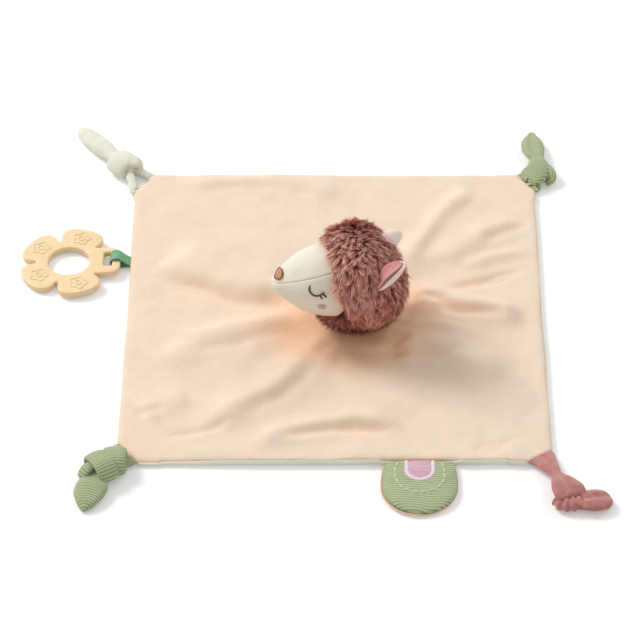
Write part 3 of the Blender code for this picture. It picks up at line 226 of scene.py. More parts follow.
class Tree:
    """A Principled material under construction."""

    def __init__(self, name, roughness, sheen=0.0, sheen_roughness=0.5, **sockets):
        self.material = bpy.data.materials.new(name)
        self.material.use_nodes = True
        self.nodes = self.material.node_tree.nodes
        self.shader = self.nodes["Principled BSDF"]
        self.shader.inputs["Roughness"].default_value = roughness
        self.shader.inputs["Sheen Weight"].default_value = sheen
        self.shader.inputs["Sheen Roughness"].default_value = sheen_roughness
        for key, value in sockets.items():
            self.shader.inputs[key.replace("_", " ")].default_value = value
        self.place = self.add("ShaderNodeTexCoord").outputs["Object"]

    def add(self, kind, **values):
        node = self.nodes.new(kind)
        for key, value in values.items():
            if key in node.inputs:
                node.inputs[key].default_value = value
            else:
                setattr(node, key, value)
        return node

    def link(self, source, target):
        self.material.node_tree.links.new(source, target)

    def noise(self, size, detail=3.0, roughness=0.6):
        node = self.add("ShaderNodeTexNoise", Scale=1.0 / size, Detail=detail, Roughness=roughness)
        self.link(self.place, node.inputs["Vector"])
        return node.outputs["Fac"]

    def wave(self, size, direction, distortion):
        node = self.add("ShaderNodeTexWave", wave_type="BANDS", bands_direction=direction, Scale=0.5 / size,
                        Distortion=distortion, Detail=1.0)
        self.link(self.place, node.inputs["Vector"])
        return node.outputs["Fac"]

    def maths(self, operation, a, b):
        node = self.add("ShaderNodeMath", operation=operation)
        for socket, value in zip(node.inputs, (a, b)):
            if isinstance(value, (int, float)):
                socket.default_value = value
            else:
                self.link(value, socket)
        return node.outputs[0]

    def mix(self, *pairs):
        """A weighted sum of factors."""
        total = None
        for source, weight in pairs:
            part = self.maths("MULTIPLY", source, weight)
            total = part if total is None else self.maths("ADD", total, part)
        return total

    def ramp(self, source, stops):
        node = self.add("ShaderNodeValToRGB")
        while len(node.color_ramp.elements) < len(stops):
            node.color_ramp.elements.new(0.5)
        for element, (at, colour) in zip(node.color_ramp.elements, stops):
            element.position = at
            element.color = (*colour, 1.0)
        self.link(source, node.inputs["Fac"])
        return node.outputs["Color"]

    def colour(self, source):
        self.link(source, self.shader.inputs["Base Color"])

    def bump(self, source, depth):
        node = self.add("ShaderNodeBump", Strength=1.0, Distance=depth)
        self.link(source, node.inputs["Height"])
        self.link(node.outputs["Normal"], self.shader.inputs["Normal"])

    def painted_hollow_shade(self, colour, tint, distance, strength):
        """A colour tinted warmer where the surface is hemmed in: painted warm shade, standing in for light caught
        between folds.
        """
        open_share = self.add("ShaderNodeAmbientOcclusion", samples=6, Distance=distance).outputs["AO"]
        near = self.maths("MULTIPLY", self.maths("SUBTRACT", 1.0, open_share), strength)
        near = self.maths("MINIMUM", near, 1.0)
        node = self.add("ShaderNodeMix", data_type="RGBA", blend_type="MULTIPLY")
        factor, base, other = node.inputs[0], node.inputs[6], node.inputs[7]
        self.link(near, factor)
        self.link(colour, base)
        other.default_value = (*tint, 1.0)
        return node.outputs[2]

    def attribute(self, name):
        return self.add("ShaderNodeAttribute", attribute_name=name).outputs["Fac"]


def shade(colour, factor):
    """A colour made darker or lighter."""
    if factor <= 1:
        return tuple(c * factor for c in colour)
    return tuple(c + (1 - c) * (factor - 1) for c in colour)


def plush(name, colour, spread, pile, depth, mottle, sheen, roughness=0.95, dark=None, light=None, tint=None,
          reach=0.03, strength=1.6):
    """Short-pile cloth: brushed patches, fine pile and a soft sheen, and with a shade tint, painted warm shade in
    its hollows.
    """
    tree = Tree(name, roughness, sheen, 0.6)
    brushed = tree.noise(mottle)
    fine = tree.noise(pile, 4.0, 0.7)
    factor = tree.mix((brushed, 0.6), (fine, 0.4))
    finish = tree.ramp(factor, ((0.30, dark or shade(colour, 1 - spread)), (0.52, colour),
                                (0.72, light or shade(colour, 1 + spread * 0.6))))
    tree.colour(tree.painted_hollow_shade(finish, tint, reach, strength) if tint else finish)
    tree.bump(tree.mix((fine, 1.0), (tree.noise(pile * 3.5, 2.0), 0.8)), depth)
    return tree.material


def corduroy(name, colour, painted_groove_shade, light):
    """Ribbed cloth: the ribs are in the mesh, and this colours their crests lighter and their grooves darker, as
    painted highlight and painted shade.
    """
    tree = Tree(name, 0.9, 0.30, 0.5)
    rib = tree.attribute("rib")
    fine = tree.noise(0.0007, 4.0, 0.7)
    patch = tree.noise(0.006, 2.0)
    factor = tree.mix((rib, 0.62), (fine, 0.22), (patch, 0.16))
    tree.colour(tree.ramp(factor, ((0.10, painted_groove_shade), (0.45, colour), (0.85, light))))
    tree.bump(fine, 0.0003)
    return tree.material


def lined(name, colour, dark, light, direction="X", pitch=0.0007, roughness=0.5, sheen=(0.15, 0.4), waver=0.6,
          patch=0.0012, depth=0.0002):
    """Close parallel threads: embroidery, or satin with other values; lighter on the crests and darker between the
    threads, as painted highlight and shade.
    """
    tree = Tree(name, roughness, *sheen)
    threads_seen = tree.wave(pitch, direction, waver)
    factor = tree.mix((threads_seen, 0.5), (tree.noise(patch), 0.5))
    tree.colour(tree.ramp(factor, ((0.2, dark), (0.5, colour), (0.8, light))))
    tree.bump(threads_seen, depth)
    return tree.material


def terry_material():
    tree = Tree("pink_terry", 1.0, 0.4, 0.6)
    loops = tree.add("ShaderNodeTexVoronoi", Scale=1100.0)
    tree.link(tree.place, loops.inputs["Vector"])
    # Lighter on the loops and darker between them, where the bump sinks: painted highlight and painted shade.
    factor = tree.mix((loops.outputs["Distance"], 0.8), (tree.noise(0.004), 0.4))
    tree.colour(tree.ramp(factor, ((0.1, (0.840, 0.560, 0.660)), (0.6, (0.720, 0.430, 0.550)),
                                   (0.9, (0.560, 0.290, 0.400)))))
    tree.bump(tree.maths("SUBTRACT", 1.0, loops.outputs["Distance"]), 0.0004)
    return tree.material


def silicone_material():
    """Matte silicone that lets a little light in."""
    tree = Tree("teether_silicone", 0.42, 0.0, Subsurface_Weight=0.25, Subsurface_Scale=0.004)
    tree.shader.inputs["Subsurface Radius"].default_value = (1.0, 0.6, 0.3)
    cloud = tree.noise(0.015, 2.0)
    tree.colour(tree.ramp(cloud, ((0.25, (0.855, 0.632, 0.360)), (0.75, (0.900, 0.695, 0.425)))))
    tree.bump(tree.noise(0.0006, 2.0), 0.00004)
    return tree.material


def fur_material():
    """Fur: darker at the root as painted shade deep in the pile, light at the tip, each lock a little different.
    """
    tree = Tree("rose_fur", 0.75, 0.10, 0.5)
    factor = tree.mix((tree.attribute("tone"), 0.85), (tree.noise(0.004), 0.15))
    tree.colour(tree.ramp(factor, ((0.06, (0.165, 0.028, 0.016)), (0.36, (0.520, 0.135, 0.088)),
                                   (0.62, (0.830, 0.330, 0.245)), (0.95, (1.0, 0.610, 0.500)))))
    return tree.material


# The peach and the face take painted warm shade in their hollows and round the head through their shade tint.
PEACH = plush("peach_velour", (0.862, 0.697, 0.543), 0.06, 0.0012, 0.00035, 0.014, 0.20,
              tint=(1.10, 0.82, 0.63), reach=0.045, strength=2.4)
BACKING = plush("backing_jersey", (0.930, 0.905, 0.790), 0.06, 0.0007, 0.0002, 0.010, 0.2)
FACE = plush("face_jersey", (0.836, 0.787, 0.672), 0.05, 0.0008, 0.00025, 0.008, 0.15,
             tint=(1.0, 0.80, 0.66), reach=0.035, strength=1.9)
CREAM = plush("cream_jersey", (0.775, 0.765, 0.630), 0.07, 0.0009, 0.0003, 0.006, 0.3)
VELVET = plush("rose_velvet", (0.480, 0.172, 0.150), 0.22, 0.0010, 0.00035, 0.006, 0.45, 0.9,
               (0.400, 0.120, 0.105), (0.700, 0.330, 0.290))
EAR_LINING = plush("ear_lining_velour", (0.640, 0.245, 0.240), 0.14, 0.0009, 0.0003, 0.006, 0.4)
EAR_BACK = plush("ear_back_jersey", (0.880, 0.725, 0.650), 0.07, 0.0008, 0.00025, 0.006, 0.25)
# The undercoat stands for the fur's real cloth, but its near-black colour is painted shade deep in the pile.
PAINTED_SHADE_UNDERCOAT = plush("rose_undercoat", (0.200, 0.048, 0.030), 0.3, 0.0016, 0.0008, 0.006, 0.1)
CORD = corduroy("green_corduroy", (0.350, 0.420, 0.225), (0.165, 0.210, 0.095), (0.520, 0.585, 0.365))
FUR = fur_material()
TERRY = terry_material()
SILICONE = silicone_material()
NOSE = lined("nose_thread", (0.740, 0.330, 0.150), (0.540, 0.210, 0.085), (0.850, 0.450, 0.250), "Y")
EYE = lined("eye_thread", (0.120, 0.035, 0.028), (0.060, 0.015, 0.012), (0.200, 0.070, 0.055))
CHEEK = lined("cheek_thread", (0.800, 0.500, 0.470), (0.720, 0.410, 0.385), (0.860, 0.590, 0.560), "Z", 0.0008,
              0.8)
STITCH = lined("cream_stitch", (0.880, 0.920, 0.720), (0.800, 0.850, 0.620), (0.940, 0.960, 0.820), "X", 0.0006,
               0.6)
SATIN_LOOK = dict(sheen=(0.1, 0.3), waver=0.3, patch=0.005, depth=0.00012)
SATIN = lined("pink_satin", (0.930, 0.760, 0.820), (0.850, 0.620, 0.700), (0.970, 0.880, 0.910), "DIAGONAL",
              roughness=0.35, **SATIN_LOOK)
RIBBON = lined("ribbon_satin", (0.150, 0.430, 0.225), (0.070, 0.250, 0.115), (0.300, 0.600, 0.380),
               roughness=0.42, **SATIN_LOOK)


# Blanket

TOP_THICK, BACK_THICK = 0.0011, 0.0008
TOP_LEVEL, SEAM_LEVEL, UNDERSIDE = 0.0050, 0.0030, 0.0009
TOP_LOWEST, TOP_ROLL, BACK_ROLL = 0.0026, 0.0048, 0.0045    # each roll is the width of a rounded edge
FRONT_RISE, RIGHT_RISE = 0.0028, 0.0008    # how far the seam stands above SEAM_LEVEL there
TAB_X, TAB_WINDOW = 0.0585, 0.0290    # the tab's middle, and half the stretch of seam that makes room for it
HEM_IN, TUCK = 0.0006, 0.0022    # how far the hem lies in, and the backing is tucked behind it
HEAD_SEAT, HEAD_FADE = 0.0233, 0.0165    # the cloth is flat up to the first, its folds full past both
WANDER, WANDER_SIZE = 0.0035, 0.030    # how far the lines of folds wander, and over what length
PUCKER_RISE, PUCKER_AT, PUCKER_WIDTH = 0.0008, 0.030, 0.018    # the small gathers round the neck
FOLD_FADE, WRINKLE_FADE = 0.22, 0.30    # shares of a line over which it fades in and out
WRINKLE_RISE, WRINKLE_WIDTH = 0.00155, 0.00092    # metres for each millimetre in WRINKLES


def line_distance(x, y, crest):
    """Distance in plan to a crest, and the share of it passed."""
    nearest = np.full(x.shape, np.inf)
    passed = np.zeros(x.shape)
    for k, (start, end) in enumerate(zip(crest, crest[1:])):
        along = end - start
        share = np.clip(((x - start[0]) * along[0] + (y - start[1]) * along[1]) / along.dot(along), 0, 1)
        distance = np.hypot(x - start[0] - share * along[0], y - start[1] - share * along[1])
        closer = distance < nearest
        nearest = np.where(closer, distance, nearest)
        passed = np.where(closer, (k + share) / (len(crest) - 1), passed)
    return nearest, passed


def ridges(wrinkled):
    """The folds, and the wrinkles if wanted: rise, width, crest and the share over which the ends fade."""
    found = [(rise * FOLD_RISE, width * FOLD_WIDTH, smooth_path(np.array(crest) * (WIDTH, DEPTH), 12),
              FOLD_FADE)
             for rise, width, crest in FOLDS]
    if wrinkled:
        found += [(rise * WRINKLE_RISE, width * WRINKLE_WIDTH, smooth_path(np.array(line) / 1000, 14),
                   WRINKLE_FADE)
                  for rise, width, line in WRINKLES]
    return found


def fold_height(x, y, wrinkled=True):
    """How far the folds and wrinkles lift the cloth at places in plan."""
    bent_x = x + WANDER * soft_noise(x, y, WANDER_SIZE, 1)
    bent_y = y + WANDER * soft_noise(x, y, WANDER_SIZE, 2)
    total = np.zeros(x.shape)
    for rise, width, crest, fade in ridges(wrinkled):
        nearest, passed = line_distance(bent_x, bent_y, crest)
        total = total + rise * bell(nearest / width) * smoothstep(np.minimum(passed, 1 - passed) / fade)
    away = np.hypot(x - HEAD.x, y - HEAD.y)
    if wrinkled:
        total = total + 0.0007 * soft_noise(x, y, 0.022, 3) + 0.0004 * soft_noise(x, y, 0.011, 4)
        around = np.arctan2(y - HEAD.y, x - HEAD.x)
        pucker = np.sin(around * 11 + 2.0 * np.sin(around * 3)) * PUCKER_RISE
        total = total + pucker * bell((away - PUCKER_AT) / PUCKER_WIDTH)
    total = total * np.clip((away - HEAD_SEAT) / HEAD_FADE, 0, 1)
    from_corner = np.hypot(np.abs(x) - WIDTH / 2, np.abs(y) - DEPTH / 2)
    return total * np.clip(from_corner / (2 * CUT) - 0.6, 0, 1)


def edge_limits(y, lip_right):
    """Where the cloth starts and ends along X for rows at places along Y, with its corners cut."""
    left = np.full(y.shape, -WIDTH / 2)
    right = np.full(y.shape, WIDTH / 2 + lip_right)
    for across, along in CUTS.values():
        cut_x, cut_y = abs(across) * CUT, abs(along) * CUT
        into = np.where(np.sign(y) == np.sign(along), (np.abs(y) - (DEPTH / 2 - cut_y)) / cut_y, -1.0)
        if across < 0:
            left = np.maximum(left, -WIDTH / 2 + into * cut_x)
        else:
            right = np.minimum(right, WIDTH / 2 - into * cut_x)
    return left, right


def spread_lines(count, roll=0.018):
    """Shares from 0 to 1 with extra lines near both ends, where the cloth rolls over."""
    near = np.array((0.0, 0.04, 0.09, 0.15, 0.22, 0.31, 0.43, 0.58, 0.78)) * roll
    return np.concatenate([near, np.linspace(roll, 1 - roll, count), (1 - near)[::-1]])


def blanket_grid(columns, rows, lip_front=0.0, lip_right=0.0):
    """A cloth's places in plan, and how far each lies in from the edge."""
    u = spread_lines(columns)
    y = -DEPTH / 2 - lip_front + spread_lines(rows) * (DEPTH + lip_front)
    left, right = edge_limits(y, lip_right)
    x = left[:, None] + (right - left)[:, None] * u[None, :]
    y = np.repeat(y[:, None], len(u), 1)
    inward = np.minimum.reduce([x - left[:, None], right[:, None] - x, DEPTH / 2 - y, y + DEPTH / 2 + lip_front])
    return x, y, np.maximum(inward, 0.0)


def wavy_edge(x, y):
    """How far the hem wanders in plan, away from the corners."""
    fade_x = smoothstep((np.abs(x) - 0.115) / 0.035)
    fade_y = smoothstep((np.abs(y) - 0.12) / 0.035)
    keep = np.hypot(np.abs(x) - WIDTH / 2, np.abs(y) - DEPTH / 2) >= 0.03
    return ((-HEM_IN - 0.0007 * soft_noise(y, y * 0, 0.035, 11)) * fade_x * np.sign(x) * keep,
            (-HEM_IN - 0.0008 * soft_noise(x, x * 0, 0.035, 12)) * fade_y * np.sign(y) * keep)


def seam_height(x, y, window=1.0):
    """How high the seam between the two cloths lies: higher along the front, lower in the tab's window."""
    tab_window = smoothstep((TAB_WINDOW - np.abs(x - TAB_X)) / 0.004)
    front = smoothstep((x + 0.13) / 0.09) * smoothstep((-y - 0.125) / 0.03) * smoothstep((0.138 - x) / 0.016)
    right = smoothstep((x - 0.12) / 0.03) * (1 - front)
    return SEAM_LEVEL + FRONT_RISE * front * (1 - 0.7 * tab_window * window) + RIGHT_RISE * right


def blanket():
    """Both cloths of the blanket, sewn together round the edge."""
    x, y, inward = blanket_grid(215, 225)
    roll = np.clip(inward / TOP_ROLL, 0, 1)
    crown = np.sqrt(1 - (1 - roll) ** 2)
    top = np.maximum(TOP_LEVEL + fold_height(x, y), TOP_LOWEST) + 0.6 * (seam_height(x, y, 0.0) - SEAM_LEVEL)
    seam = seam_height(x, y)
    z = seam + (np.maximum(top, seam) - seam) * crown
    dx, dy = wavy_edge(x, y)
    verts = np.stack([x + dx, y + dy, z], -1).reshape(-1, 3)
    cloth = make("blanket_top", verts, grid_faces(*x.shape), PEACH)
    solidify(cloth, TOP_THICK)
    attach(cloth, "blanket")
    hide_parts("blanket_top_panel")

    x, y, inward = blanket_grid(150, 158, LIP * 0.85, LIP * 0.6)
    low = UNDERSIDE + 0.8 * np.maximum(fold_height(x, y, False), 0)
    share = np.clip(inward / BACK_ROLL, 0, 1)
    seam = seam_height(x, y) - 0.0004
    z = seam + (low - seam) * np.sin(share * math.pi / 2) ** 1.15
    tuck = TUCK * np.clip(1 - share / 0.40, 0, 1) ** 2
    dx, dy = wavy_edge(x, y)
    pull_x = tuck * (np.abs(x) > WIDTH / 2 - 0.004) * np.sign(x)
    pull_y = tuck * (np.abs(y) > DEPTH / 2 - 0.004) * np.sign(y)
    verts = np.stack([x + dx - pull_x, y + dy - pull_y, z], -1).reshape(-1, 3)
    back = make("blanket_back", verts, grid_faces(*x.shape), BACKING)
    solidify(back, BACK_THICK)
    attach(back, "blanket")
    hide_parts("blanket_back_panel")


# Head

MUZZLE_LENGTH, MUZZLE_REACH, MUZZLE_RADIUS = 0.0625, 0.0630, 0.0272
PROFILE = smooth_path((
    (0.000, 0.060), (0.012, 0.150), (0.040, 0.245), (0.085, 0.350), (0.150, 0.470), (0.225, 0.610),
    (0.320, 0.755), (0.440, 0.880), (0.580, 0.965), (0.720, 1.000), (0.860, 0.985), (1.000, 0.900),
), 300)
SEAM_DEPTH, SEAM_WIDTH = 0.00060, 0.00045
NOSE_SHARE, NOSE_ALONG, NOSE_ACROSS = 0.092, 0.0033, 0.0050
CHEEK_SHARE, CHEEK_ALONG, CHEEK_ACROSS, CHEEK_ANGLE = 0.518, 0.0030, 0.0026, 93
EYE_ARC = ((0.412, 51.5), (0.400, 58.5), (0.410, 64.8), (0.438, 69.0), (0.474, 70.3), (0.520, 68.2), (0.560, 63.6))
LASHES = (((0.500, 68.5), (0.532, 76.1)), ((0.536, 65.2), (0.578, 73.6)))
FAR_EYE_TURN = 12    # degrees further round the face than the near eye
NOSE_RIM, EYE_THREAD, NECK_THREAD = 0.00030, 0.00062, 0.00040    # radii
GROUND_HALF = BALL_HALF - 0.0052    # the fur's cloth, under its pile
RUFF_HALF = np.array((0.0235, 0.0168, 0.0095))
STRANDS, LOCKS = 46000, 2300
RUFF_STRANDS, RUFF_LOCKS = 9000, 500
LOCK_LENGTH, STRAND_WIDTH = (0.0070, 0.0115), (0.00030, 0.00056)    # least and most
RUFF_LENGTH, RUFF_WIDTH = (0.005, 0.0085), (0.00034, 0.00058)
STRIP_SHARES, STRIP_WIDTHS = (0.0, 0.30, 0.58, 0.82, 1.0), (1.0, 0.95, 0.75, 0.45)    # each strip ends in a point
STRIP_PLACES = 2 * len(STRIP_WIDTHS) + 1
CROWN = np.array((0.004, 0.040, 0.002))    # where the pile parts, in the head's frame


def muzzle_radius(share):
    return np.interp(share, PROFILE[:, 0], PROFILE[:, 1]) * MUZZLE_RADIUS


def gusset_angle(share):
    """How far from the top the gusset's seam runs: 49 degrees at the nose, 35 at the hair."""
    return math.radians(49) - math.radians(14) * np.minimum(share / 0.80, 1.0)


def muzzle_point(share, angle, lift=0.0):
    """A place on the muzzle in the head's own frame."""
    share, angle = np.asarray(share, dtype=float), np.asarray(angle, dtype=float)
    ahead, behind = np.minimum(share + 0.03, 1), np.maximum(share - 0.03, 0)
    slope = np.arctan2(muzzle_radius(ahead) - muzzle_radius(behind), (ahead - behind) * MUZZLE_LENGTH)
    radius = np.maximum(muzzle_radius(share) + lift * np.cos(slope), 0.0)
    low = smoothstep((np.abs(angle) - math.radians(88)) / math.radians(50))
    radius = radius * (1 - 0.62 * low * np.clip((share - 0.66) / 0.22, 0, 1) ** 2.0)
    x = share * MUZZLE_LENGTH - MUZZLE_REACH - lift * np.sin(slope)
    rise = 0.0026 * np.clip(1 - share / 0.5, 0, 1) ** 1.5
    return np.stack([x, -radius * np.sin(angle), radius * np.cos(angle) + rise], -1)


def to_world(points):
    return np.asarray(points) @ np.array(HEAD_TURN).T + np.array(HEAD)


def muzzle():
    """The face: one skin with the seams of its three cloths sunk into it."""
    shares = np.concatenate([[0.0, 0.002, 0.006, 0.012, 0.02, 0.03], np.linspace(0.042, 0.92, 110)])
    angles = np.linspace(-math.pi, math.pi, 361)[:-1]
    share, angle = np.meshgrid(shares, angles, indexing="ij")
    radius = np.maximum(muzzle_radius(share), 0.001)
    lift = np.zeros(share.shape)
    for seam in (gusset_angle(share), -gusset_angle(share), math.pi, -math.pi):
        away = np.abs(angle - seam) * radius
        lift = lift - SEAM_DEPTH * bell(away / SEAM_WIDTH) + SEAM_DEPTH / 5 * bell((away - 0.0018) / 0.0013)
    lift = lift * smoothstep(share / 0.09)
    lift = lift + 0.00035 * soft_noise(share * 0.06, angle * 0.02, 0.010, 21)
    points = muzzle_point(share, angle, lift)
    points[0] = points[0].mean(0)
    faces = grid_faces(len(shares), len(angles), True)
    face = make("face", to_world(points.reshape(-1, 3)), faces, FACE)
    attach(recalc(face), "head")
    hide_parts("face_gusset", "face_side_left", "face_side_right", "head_stuffing")


def tube(points, radius, ring, ends):
    """Vertices and faces of a round thread along points; with ends, it thins at both."""
    points = np.asarray(points, dtype=float)
    count = len(points)
    along = unit(np.gradient(points, axis=0))
    side = unit(np.cross(along, np.array((0.0, 0.0, 1.0)) + 1e-4))
    lift = np.cross(side, along)
    t = ring_turns(ring)[None, :, None]
    size = np.full(count, radius)
    if ends:
        share = np.linspace(0, 1, count)
        taper = np.sqrt(np.clip(np.minimum(share, 1 - share) * count / 3.0, 0, 1))
        size = radius * np.clip(taper, 0.12, 1)
    verts = points[:, None] + size[:, None, None] * (side[:, None] * np.cos(t) + lift[:, None] * np.sin(t))
    return verts.reshape(-1, 3), capped_faces(count, ring)


def threads(name, lines, radius, finish, ring=8, ends=True):
    """Several threads in one object."""
    verts, faces, start = [], [], 0
    for line in lines:
        v, f = tube(line, radius, ring, ends)
        verts.append(v)
        faces += [tuple(i + start for i in face) for face in f]
        start += len(v)
    return recalc(make(name, np.vstack(verts), faces, finish))


def features():
    """Nose, eyes, lashes and cheeks, sewn on the face."""
    turns = np.linspace(0, 2 * math.pi, 73)
    dome = lambda reach: math.sqrt(max(1 - reach ** 2, 0))

    def nose_point(reach, lift):
        across = np.sin(turns) * reach
        taper = 1.18 * np.sqrt((1 + np.sin(turns)) / 2 + 1e-6) * (1 - 0.15 * np.maximum(np.sin(turns), 0))
        along = np.cos(turns) * taper * reach + 0.30 * np.maximum(-np.sin(turns), 0) * reach
        return muzzle_point(NOSE_SHARE + along * NOSE_ALONG / MUZZLE_LENGTH,
                            across * NOSE_ACROSS / muzzle_radius(NOSE_SHARE), lift)

    def cheek_point(side, reach):
        along = np.cos(turns[:-1]) * CHEEK_ALONG * reach / MUZZLE_LENGTH
        across = np.sin(turns[:-1]) * CHEEK_ACROSS * reach / muzzle_radius(CHEEK_SHARE)
        return muzzle_point(CHEEK_SHARE + along, side * (math.radians(CHEEK_ANGLE) + across),
                            0.0001 + 0.00035 * dome(reach))

    rim = threads("nose_outline", [to_world(nose_point(1.0, 0.0009))], NOSE_RIM, EYE, 8, False)
    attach(rim, "head")
    verts = [nose_point(reach, 0.0005 + 0.0008 * dome(reach))[:-1] for reach in np.linspace(0, 1, 9)]
    nose = make("nose", to_world(np.vstack(verts)), grid_faces(9, 72, True), NOSE)
    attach(nose, "head")
    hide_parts("nose_patch")
    for side, name, more in ((1, "left", 0), (-1, "right", FAR_EYE_TURN)):
        lines = []
        for curve, count, lift in ((EYE_ARC, 40, 0.0006), *((lash, 12, 0.0005) for lash in LASHES)):
            arc = smooth_path(np.array(curve) + (0, more), count)
            lines.append(to_world(muzzle_point(arc[:, 0], side * np.radians(arc[:, 1]), lift)))
        eye = threads("eye_%s_thread" % name, lines, EYE_THREAD, EYE)
        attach(eye, "head")
        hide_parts("eye_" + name)
        verts = to_world(np.vstack([cheek_point(side, reach) for reach in np.linspace(0, 1, 7)]))
        cheek = make("cheek_%s_spot" % name, verts, grid_faces(7, 72, True), CHEEK)
        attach(cheek, "head")
        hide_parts("cheek_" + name)


def in_head(points):
    """Places in the fur ball's own frame, in the head's."""
    return (points + np.array((BALL_BACK, 0, 0))) @ np.array(TILT).T


def ball_place(directions):
    """Where directions meet the fur's cloth, and the normals there, in the head's frame."""
    reach = (np.abs(directions / GROUND_HALF) ** BALL_POWER).sum(1) ** (-1 / BALL_POWER)
    points = directions * reach[:, None]
    normals = unit(rounded(points / GROUND_HALF, BALL_POWER - 1) / GROUND_HALF)
    return in_head(points), normals @ np.array(TILT).T


def sphere_directions(count):
    """Directions spread evenly over a sphere."""
    k = np.arange(count) + 0.5
    z = 1 - 2 * k / count
    around = k * math.pi * (3 - math.sqrt(5))
    ring = np.sqrt(1 - z * z)
    return np.stack([ring * np.cos(around), ring * np.sin(around), z], 1)


def undercoat():
    """The fur cover's cloth under the long pile, and the ruff's over the neck; both are near black, painted shade
    deep in the pile.
    """
    work = bmesh.new()
    bmesh.ops.create_uvsphere(work, u_segments=72, v_segments=48, radius=1.0)
    work.verts.index_update()
    sphere = np.array([v.co for v in work.verts])
    faces = [[v.index for v in face.verts] for face in work.faces]
    work.free()
    shape = sphere * ((np.abs(sphere) ** BALL_POWER).sum(1) ** (-1 / BALL_POWER))[:, None]
    cover = recalc(make("fur_ground", to_world(in_head(shape * GROUND_HALF)), faces, PAINTED_SHADE_UNDERCOAT))
    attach(cover, "head")
    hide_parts("head_fur_cover", "neck_core")
    middle = np.array((HEAD.x - 0.0010, HEAD.y, 0.0195))
    collar = recalc(make("fur_ruff", shape * RUFF_HALF + middle, faces, PAINTED_SHADE_UNDERCOAT))
    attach(collar, "head")


def strands(name, roots, normals, flows, lengths, widths, tones, clump_tips, clump_pull, sides, rise=1.0):
    """Long pile as tapered strips, each bent along its flow and gathered into its lock."""
    verts, tone = [], []
    for k, t in enumerate(STRIP_SHARES):
        along = normals * (t - 0.30 * t * t) * rise + flows * (0.20 * t + 0.70 * t * t)
        pull = (clump_pull * t ** 1.3)[:, None]
        line = (roots + along * lengths[:, None]) * (1 - pull) + (roots + (clump_tips - roots) * t) * pull
        if k < len(STRIP_WIDTHS):
            half = sides * (widths * STRIP_WIDTHS[k] / 2)[:, None]
            verts += [line - half, line + half]
            # The strips darken towards the root: painted shade deep in the pile.
            tone += [tones * (0.10 + 0.80 * t)] * 2
        else:
            verts.append(line)
            tone.append(tones)
    verts = np.stack(verts, 1).reshape(-1, 3)
    tone = np.stack(tone, 1).reshape(-1)
    base = np.arange(len(roots)) * STRIP_PLACES
    quads = np.concatenate([np.stack([base + k, base + k + 1, base + k + 3, base + k + 2], 1) for k in (0, 2, 4)])
    tips = np.stack([base + 6, base + 7, base + 8], 1)
    piece = make(name, verts, [*quads.tolist(), *tips.tolist()], FUR, {"tone": tone})
    soft = unit(normals + 0.12 * flows + np.array((-0.12, 0.12, 0.30)))
    soft = unit(soft + RNG.normal(0, 0.30, soft.shape))
    piece.data.normals_split_custom_set_from_vertices(np.repeat(soft, STRIP_PLACES, 0).tolist())
    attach(piece, "head")


def in_face(points, margin):
    """Whether places in the head's frame lie within the muzzle, grown by a margin, ahead of the hairline."""
    share = (points[:, 0] + MUZZLE_REACH) / MUZZLE_LENGTH
    away = np.hypot(points[:, 1], points[:, 2])
    return (share < 1.05) & (away < muzzle_radius(np.clip(share, 0, 1)) + margin)


def fur():
    """The long pile: locks that part from a crown on the head's far side and hang down all round."""
    directions = sphere_directions(STRANDS)
    directions = unit(directions + RNG.normal(0, 0.012, directions.shape))
    roots, normals = ball_place(directions)
    keep = ~in_face(roots, 0.0005)
    roots, normals, directions = roots[keep], normals[keep], directions[keep]
    centres = sphere_directions(LOCKS)
    centres = unit(centres + RNG.normal(0, 0.03, centres.shape))
    lock_roots, lock_normals = ball_place(centres)
    nearest = np.empty(len(roots), dtype=int)
    for part in np.array_split(np.arange(len(roots)), 60):
        nearest[part] = np.argmax(directions[part] @ centres.T, 1)
    turn = np.array(HEAD_TURN).T
    down = turn @ np.array((0.0, -0.25, -1.0))

    def flow(points, normal):
        way = unit(points - CROWN) + 0.7 * down
        way -= normal * (way * normal).sum(1)[:, None]
        return way / (np.linalg.norm(way, axis=1)[:, None] + 1e-6)

    lock_flow = flow(lock_roots, lock_normals)
    swirl = RNG.normal(0, 0.80, LOCKS)[:, None]
    lock_flow = lock_flow + np.cross(lock_flow, lock_normals) * swirl + RNG.normal(0, 0.10, lock_flow.shape)
    lock_flow = unit(lock_flow)
    lock_length = RNG.uniform(*LOCK_LENGTH, LOCKS)
    height = (lock_roots @ turn)[:, 2]
    stand = np.clip(0.95 - 0.25 * (0.03 - height) / 0.06, 0.55, 0.95)[:, None]
    lock_tips = lock_roots + (lock_normals * 0.56 * stand + lock_flow * 0.72) * lock_length[:, None]
    # Locks higher on the head are lighter: painted light on the top of the head.
    lift = 0.55 * smoothstep((height + 0.002) / 0.032)
    lock_tone = np.clip(RNG.normal(1.00, 0.34, LOCKS) + lift, 0.25, 1.50)
    own_flow = unit(flow(roots, normals) * 0.6 + lock_flow[nearest] * 0.8 + RNG.normal(0, 0.30, roots.shape))
    lengths = lock_length[nearest] * RNG.uniform(0.75, 1.10, len(roots))
    widths = RNG.uniform(*STRAND_WIDTH, len(roots))
    tones = lock_tone[nearest] * np.clip(RNG.normal(0.92, 0.28, len(roots)), 0.35, 1.45)
    pull = RNG.uniform(0.40, 0.92, len(roots))
    own_normals = normals * 0.9 + RNG.normal(0, 0.14, normals.shape)
    sides = unit(np.cross(own_flow, normals) + RNG.normal(0, 0.5, normals.shape))
    strands("fur_pile", to_world(roots), own_normals @ turn, own_flow @ turn, lengths, widths, tones,
            to_world(lock_tips[nearest]), pull, sides @ turn, 0.78)


